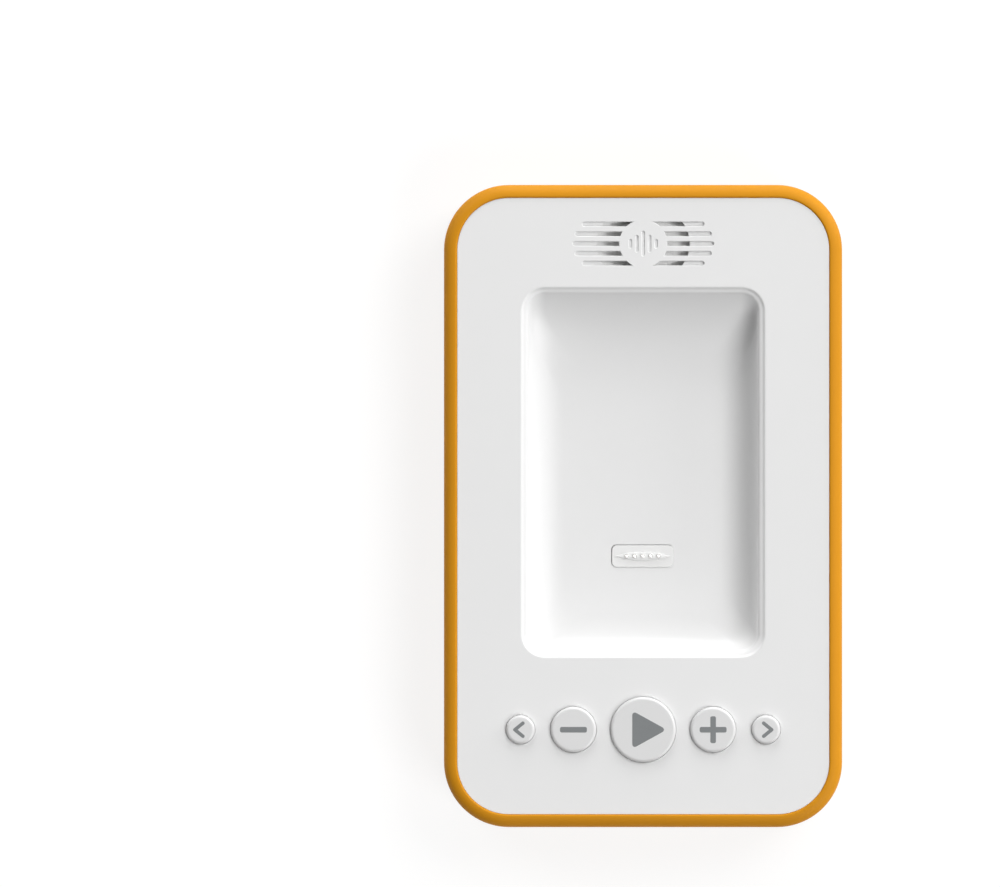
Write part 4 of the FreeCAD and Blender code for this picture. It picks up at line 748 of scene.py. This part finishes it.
def rim_of(bm, kept):
    """Keeps only the outer edges of the flat faces drawn since kept was noted, as a loop."""
    faces = [f for f in bm.faces if f not in kept]
    edges = {e for f in faces for e in f.edges}
    loop = [e for e in edges if sum(f in faces for f in e.link_faces) == 1]
    bmesh.ops.delete(bm, geom=faces, context="FACES_ONLY")
    inner = [e for e in edges if e.is_valid and e not in set(loop)]
    bmesh.ops.delete(bm, geom=inner, context="EDGES")
    return loop


def triangle_outline(bm, grow):
    verts = bmesh.ops.create_circle(bm, cap_ends=True, radius=1.0, segments=3)["verts"]
    lean = sqrt((PLAY_REACH + PLAY_BACK) ** 2 + (PLAY_SIDE / 2) ** 2) / (PLAY_SIDE / 2)
    corners = ((PLAY_REACH + grow * lean, 0.0), (-PLAY_BACK - grow, PLAY_SIDE / 2 + grow * PLAY_SPREAD),
               (-PLAY_BACK - grow, -PLAY_SIDE / 2 - grow * PLAY_SPREAD))
    for vert, corner in zip(verts, corners):
        vert.co.xy = corner
    for vert in verts:
        soften(bm, vert, PLAY_ROUND + grow)


def dash_outline(bm, grow):
    verts = bmesh.ops.create_grid(bm, x_segments=1, y_segments=1, size=0.5)["verts"]
    bmesh.ops.scale(bm, vec=(DASH_LENGTH + 2 * grow, DASH_WIDTH + 2 * grow, 1.0), verts=verts)
    for vert in verts:
        soften(bm, vert, DASH_ROUND + grow)


def cross_outline(bm, grow):
    verts = bmesh.ops.create_grid(bm, x_segments=3, y_segments=3, size=1.5)["verts"]
    for v in verts:
        for axis in (0, 1):
            far = abs(v.co[axis]) > 1.0
            v.co[axis] = (1 if v.co[axis] > 0 else -1) * ((DASH_LENGTH if far else DASH_WIDTH) / 2 + grow)
    corners = [v for v in verts if len(v.link_faces) == 1]
    bmesh.ops.delete(bm, geom=corners, context="VERTS")
    tips = [v for v in verts if v.is_valid and max(abs(v.co.x), abs(v.co.y)) > DASH_LENGTH / 2 - 0.1]
    for vert in tips:
        soften(bm, vert, DASH_ROUND + grow)


def arrow_outline(bm, grow, facing):
    """Two arms that meet in a round tip, with round ends."""
    verts = bmesh.ops.create_grid(bm, x_segments=2, y_segments=1, size=0.5)["verts"]
    slope = radians(ARROW_SLOPE)
    half = ARROW_WIDTH / 2 + grow
    tip_x = ARROW_SHIFT + ARROW_RUN / 2 * cos(slope)
    along = Vector((-cos(slope), sin(slope), 0.0))
    across = Vector((sin(slope), cos(slope), 0.0))
    for v in verts:
        side = 1 if v.co.y > 0 else -1
        if abs(v.co.x) < 0.1:
            v.co = Vector((tip_x + side * half / sin(slope), 0.0, 0.0))
        else:
            end = 1 if v.co.x > 0 else -1
            spot = along * (ARROW_RUN + half) + across * side * half
            v.co = Vector((tip_x + spot.x, end * spot.y, 0.0))
    for vert in [v for v in verts if v.co.x > tip_x or abs(v.co.y) > 0.01]:
        soften(bm, vert, half - SHORT)
    drawn = [v for v in bm.verts if not v.is_wire and abs(v.co.z) < 1e-6]
    bmesh.ops.scale(bm, vec=(facing, 1.0, 1.0), verts=drawn)


SYMBOLS = {
    "previous": lambda bm, grow: arrow_outline(bm, grow, -1),
    "volume_down": dash_outline,
    "play": triangle_outline,
    "volume_up": cross_outline,
    "next": lambda bm, grow: arrow_outline(bm, grow, 1),
}


def symbol_loop(bm, name, x, z, grow=0.0):
    """Draws a symbol flat at the origin, then moves its rim into place."""
    kept = set(bm.faces)
    SYMBOLS[name](bm, grow)
    loop = rim_of(bm, kept)
    shift(bm, list({v for e in loop for v in e.verts}), x, ROW_Y, z)
    return loop


def make_button(name, radius, x):
    edge = radius - BUTTON_TRIM
    bm = bmesh.new()
    rings = [ring(bm, STEM_RADIUS, FLANGE_TOP - FLANGE - STEM_LENGTH, x, ROW_Y),
             ring(bm, STEM_RADIUS, FLANGE_TOP - FLANGE, x, ROW_Y),
             ring(bm, radius + FLANGE_EXTRA, FLANGE_TOP - FLANGE, x, ROW_Y),
             ring(bm, radius + FLANGE_EXTRA, FLANGE_TOP, x, ROW_Y),
             ring(bm, edge, FLANGE_TOP, x, ROW_Y)]
    rings += [ring(bm, edge - BUTTON_ROUND * (1 - cos(a)), BUTTON_TOP - BUTTON_ROUND * (1 - sin(a)), x, ROW_Y)
              for a in quarter(12)]
    rings.append(ring(bm, edge - BUTTON_ROUND - BUTTON_HOLD, BUTTON_TOP, x, ROW_Y))
    skin(bm, rings)
    cap(bm, rings[0])
    seat = symbol_loop(bm, name, x, BUTTON_TOP)
    flat(bm, [rings[-1], seat])
    cap(bm, drop(bm, seat, z=-SYMBOL_DEPTH))
    body = f"{name}_key"
    piece(f"{name}_cap", bm, body, FINISHES["white_button"], "white_button", f"{name}_button")
    bm = bmesh.new()
    low = symbol_loop(bm, name, x, BUTTON_TOP - SYMBOL_DEPTH)
    side = symbol_loop(bm, name, x, BUTTON_TOP)
    top = symbol_loop(bm, name, x, BUTTON_TOP + SYMBOL_PROUD, -SYMBOL_EDGE)
    skin(bm, [low, side, top])
    cap(bm, low)
    cap(bm, top)
    piece(f"{name}_mark", bm, body, FINISHES["grey_symbol"], "grey_symbol", f"{name}_symbol", angle=20.0)


# ---------------------------------------------------------------- feet, contact block and pins

def make_foot(name, x, y):
    bm = bmesh.new()
    rings = [ring(bm, FOOT_RADIUS, BACK + FOOT_SEAT_DEPTH, x, y)]
    rings += [ring(bm, FOOT_TIP + (FOOT_RADIUS - FOOT_TIP) * cos(a), FOOT_DOME * (1 - sin(a)), x, y)
              for a in quarter(12)]
    skin(bm, rings)
    cap(bm, rings[0])
    cap(bm, rings[-1])
    piece(f"{name}_pad", bm, "case", FINISHES["orange_foot"], "orange_foot", name)


def ridge_loop(bm, inset, z):
    """A lens whose two arcs meet in points on its long axis."""
    verts = bmesh.ops.create_grid(bm, x_segments=36, y_segments=1, size=0.5)["verts"]
    rise = RIDGE_RISE - inset
    half = RIDGE_HALF - RIDGE_POINT * inset
    bow = (half ** 2 + rise ** 2) / (2 * rise)
    for v in verts:
        v.co.x *= 2 * half
        v.co.y = (1 if v.co.y > 0 else -1) * (sqrt(bow ** 2 - v.co.x ** 2) - bow + rise)
    bmesh.ops.remove_doubles(bm, verts=verts, dist=0.001)
    kept = {f for f in bm.faces if not any(v in verts for v in f.verts)}
    loop = rim_of(bm, kept)
    shift(bm, list({v for e in loop for v in e.verts}), 0.0, CONTACT_Y, z)
    return loop


def block_loop(bm, grow, z):
    return outline(bm, BLOCK_WIDTH + 2 * grow, BLOCK_LENGTH + 2 * grow, BLOCK_CORNER + min(grow, 0.0), z,
                   y=CONTACT_Y)


def make_contact_block():
    bm = bmesh.new()
    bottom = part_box("contact_block")[0].z / MM
    wide = (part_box("contact_block")[1].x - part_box("contact_block")[0].x) / MM
    flange = (wide - BLOCK_WIDTH) / 2
    step = POCKET_UNDER - FLANGE_ROOM
    rings = [block_loop(bm, flange, bottom), block_loop(bm, flange, step), block_loop(bm, 0.0, step)]
    rings += [block_loop(bm, -BLOCK_ROUND * (1 - cos(a)), BLOCK_TOP - BLOCK_ROUND * (1 - sin(a)))
              for a in quarter(6)]
    rings.append(block_loop(bm, -BLOCK_ROUND - BLOCK_HOLD, BLOCK_TOP))
    skin(bm, rings)
    slope = [ridge_loop(bm, inset, z) for inset, z in RIDGE_SLOPE]
    flat(bm, [rings[-1], slope[0]])
    skin(bm, slope)
    holes = [ring(bm, PIN_HOLE, RIDGE_TOP, place * PIN_PITCH, CONTACT_Y, PIN_STEPS) for place in range(-2, 3)]
    flat(bm, [slope[-1]] + holes)
    ends = [drop(bm, hole, z=bottom - RIDGE_TOP) for hole in holes]
    flat(bm, [rings[0]] + ends)
    piece("contact_plate", bm, "case", FINISHES["white_block"], "white_block", "contact_block")


def make_pin(number):
    bm = bmesh.new()
    node = f"contact_pin_{number}"
    low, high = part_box(node)
    x = (low.x + high.x) / 2 / MM
    centre = high.z / MM - PIN_RADIUS
    rings = [ring(bm, PIN_RADIUS, low.z / MM, x, CONTACT_Y, PIN_STEPS)]
    rings += [ring(bm, PIN_RADIUS * cos(a), centre + PIN_RADIUS * sin(a), x, CONTACT_Y, PIN_STEPS)
              for a in quarter(8)[:-1]]
    skin(bm, rings)
    cap(bm, rings[0])
    cap(bm, rings[-1])
    piece(f"contact_tip_{number}", bm, f"pin_{number}", FINISHES["contact_silver"], "contact_silver", node)


# ---------------------------------------------------------------- camera, light and floor

LIGHT_DISTANCE = 5.0
LIGHT_SIZE = 2.6
LENS = 290.0
SENSOR = 36.0
PIXELS_PER_METRE = 4013.0
# Middle of the frame and of the body in the frame, in pixels, and the height that the scale is right at
FRAME_MIDDLE = (500.0, 443.5)
BODY_MIDDLE = (643.0, 506.0)
FACE_LEVEL = 0.02
FLOOR_SIZE = 6.0
FLOOR_PAINT = (0.80, 0.80, 0.80, 1.0)
FLOOR_GLOW = 1.12
GLOW_SHARE = 0.75
# Name, azimuth (0 is +X and 90 is +Y), elevation, power
LIGHTS = (("low_right", 315.0, 42.0, 141.0), ("high_right", 45.0, 47.0, 127.0), ("far_end", 90.0, 8.0, 168.0),
          ("left", 135.0, 25.0, 88.0), ("right_edge", 30.0, 8.0, 140.0))


def make_light(name, azimuth, elevation, power):
    """A square soft box that points at the middle of the face."""
    lamp = bpy.data.lights.new(name, "AREA")
    lamp.size = LIGHT_SIZE
    lamp.energy = power
    thing = bpy.data.objects.new(name, lamp)
    a, e = radians(azimuth), radians(elevation)
    away = Vector((cos(a) * cos(e), sin(a) * cos(e), sin(e)))
    thing.location = away * LIGHT_DISTANCE
    thing.rotation_euler = (-away).to_track_quat("-Z", "Y").to_euler()
    bpy.context.scene.collection.objects.link(thing)


def make_camera():
    """Straight above the face, a long lens, the speaker end at the top of the frame."""
    data = bpy.data.cameras.new("camera")
    data.lens = LENS
    data.sensor_width = SENSOR
    distance = LENS / SENSOR * 2 * FRAME_MIDDLE[0] / PIXELS_PER_METRE
    camera = bpy.data.objects.new("camera", data)
    camera.location = ((FRAME_MIDDLE[0] - BODY_MIDDLE[0]) / PIXELS_PER_METRE,
                       (BODY_MIDDLE[1] - FRAME_MIDDLE[1]) / PIXELS_PER_METRE, distance + FACE_LEVEL)
    bpy.context.scene.collection.objects.link(camera)
    bpy.context.scene.camera = camera


def share_of_rays(tree, *rays):
    """1 for the named kinds of ray and 0 for all others."""
    path = tree.nodes.new("ShaderNodeLightPath")
    share = path.outputs[rays[0]]
    for ray in rays[1:]:
        either = tree.nodes.new("ShaderNodeMath")
        either.operation = "MAXIMUM"
        tree.links.new(share, either.inputs[0])
        tree.links.new(path.outputs[ray], either.inputs[1])
        share = either.outputs[0]
    return share


def blend_shaders(tree, share, first, second, output):
    """Sends the first shader to the output, and the second for its share."""
    mix = tree.nodes.new("ShaderNodeMixShader")
    out = tree.nodes.new(output)
    tree.links.new(share, mix.inputs["Fac"])
    tree.links.new(first.outputs[0], mix.inputs[1])
    tree.links.new(second.outputs[0], mix.inputs[2])
    tree.links.new(mix.outputs["Shader"], out.inputs["Surface"])


def make_floor():
    """A floor that glows white to the camera and keeps a part of the shadow on it."""
    bm = bmesh.new()
    bmesh.ops.create_grid(bm, x_segments=1, y_segments=1, size=FLOOR_SIZE)
    mesh = bpy.data.meshes.new("floor")
    bm.to_mesh(mesh)
    bm.free()
    material = bpy.data.materials.new("floor_white")
    material.use_nodes = True
    tree = material.node_tree
    tree.nodes.clear()
    paint = tree.nodes.new("ShaderNodeBsdfDiffuse")
    paint.inputs["Color"].default_value = FLOOR_PAINT
    glow = tree.nodes.new("ShaderNodeEmission")
    glow.inputs["Strength"].default_value = FLOOR_GLOW
    share = tree.nodes.new("ShaderNodeMath")
    share.operation = "MULTIPLY"
    share.inputs[1].default_value = GLOW_SHARE
    seen = share_of_rays(tree, "Is Camera Ray", "Is Glossy Ray", "Is Transmission Ray")
    tree.links.new(seen, share.inputs[0])
    blend_shaders(tree, share.outputs[0], paint, glow, "ShaderNodeOutputMaterial")
    mesh.materials.append(material)
    floor = bpy.data.objects.new("floor", mesh)
    bpy.context.scene.collection.objects.link(floor)


def make_world():
    """White to the camera and in reflections, and no light of its own."""
    world = bpy.data.worlds.new("studio")
    world.use_nodes = True
    bpy.context.scene.world = world
    tree = world.node_tree
    tree.nodes.clear()
    fill = tree.nodes.new("ShaderNodeBackground")
    fill.inputs["Strength"].default_value = 0.0
    white = tree.nodes.new("ShaderNodeBackground")
    for background in (fill, white):
        background.inputs["Color"].default_value = (1.0, 1.0, 1.0, 1.0)
    seen = share_of_rays(tree, "Is Camera Ray", "Is Glossy Ray")
    blend_shaders(tree, seen, fill, white, "ShaderNodeOutputWorld")


make_camera()
make_floor()
make_world()
for light in LIGHTS:
    make_light(*light)
make_tub()
make_face_plate()
make_dust_cloth()
for button in BUTTONS:
    make_button(*button)
for end, along in (("top", 1), ("bottom", -1)):
    for hand, across in (("left", -1), ("right", 1)):
        make_foot(f"foot_{end}_{hand}", across * FOOT_SPREAD[0], along * FOOT_SPREAD[1])
make_contact_block()
for number in range(1, 6):
    make_pin(number)

bpy.context.scene.view_settings.view_transform = "Standard"
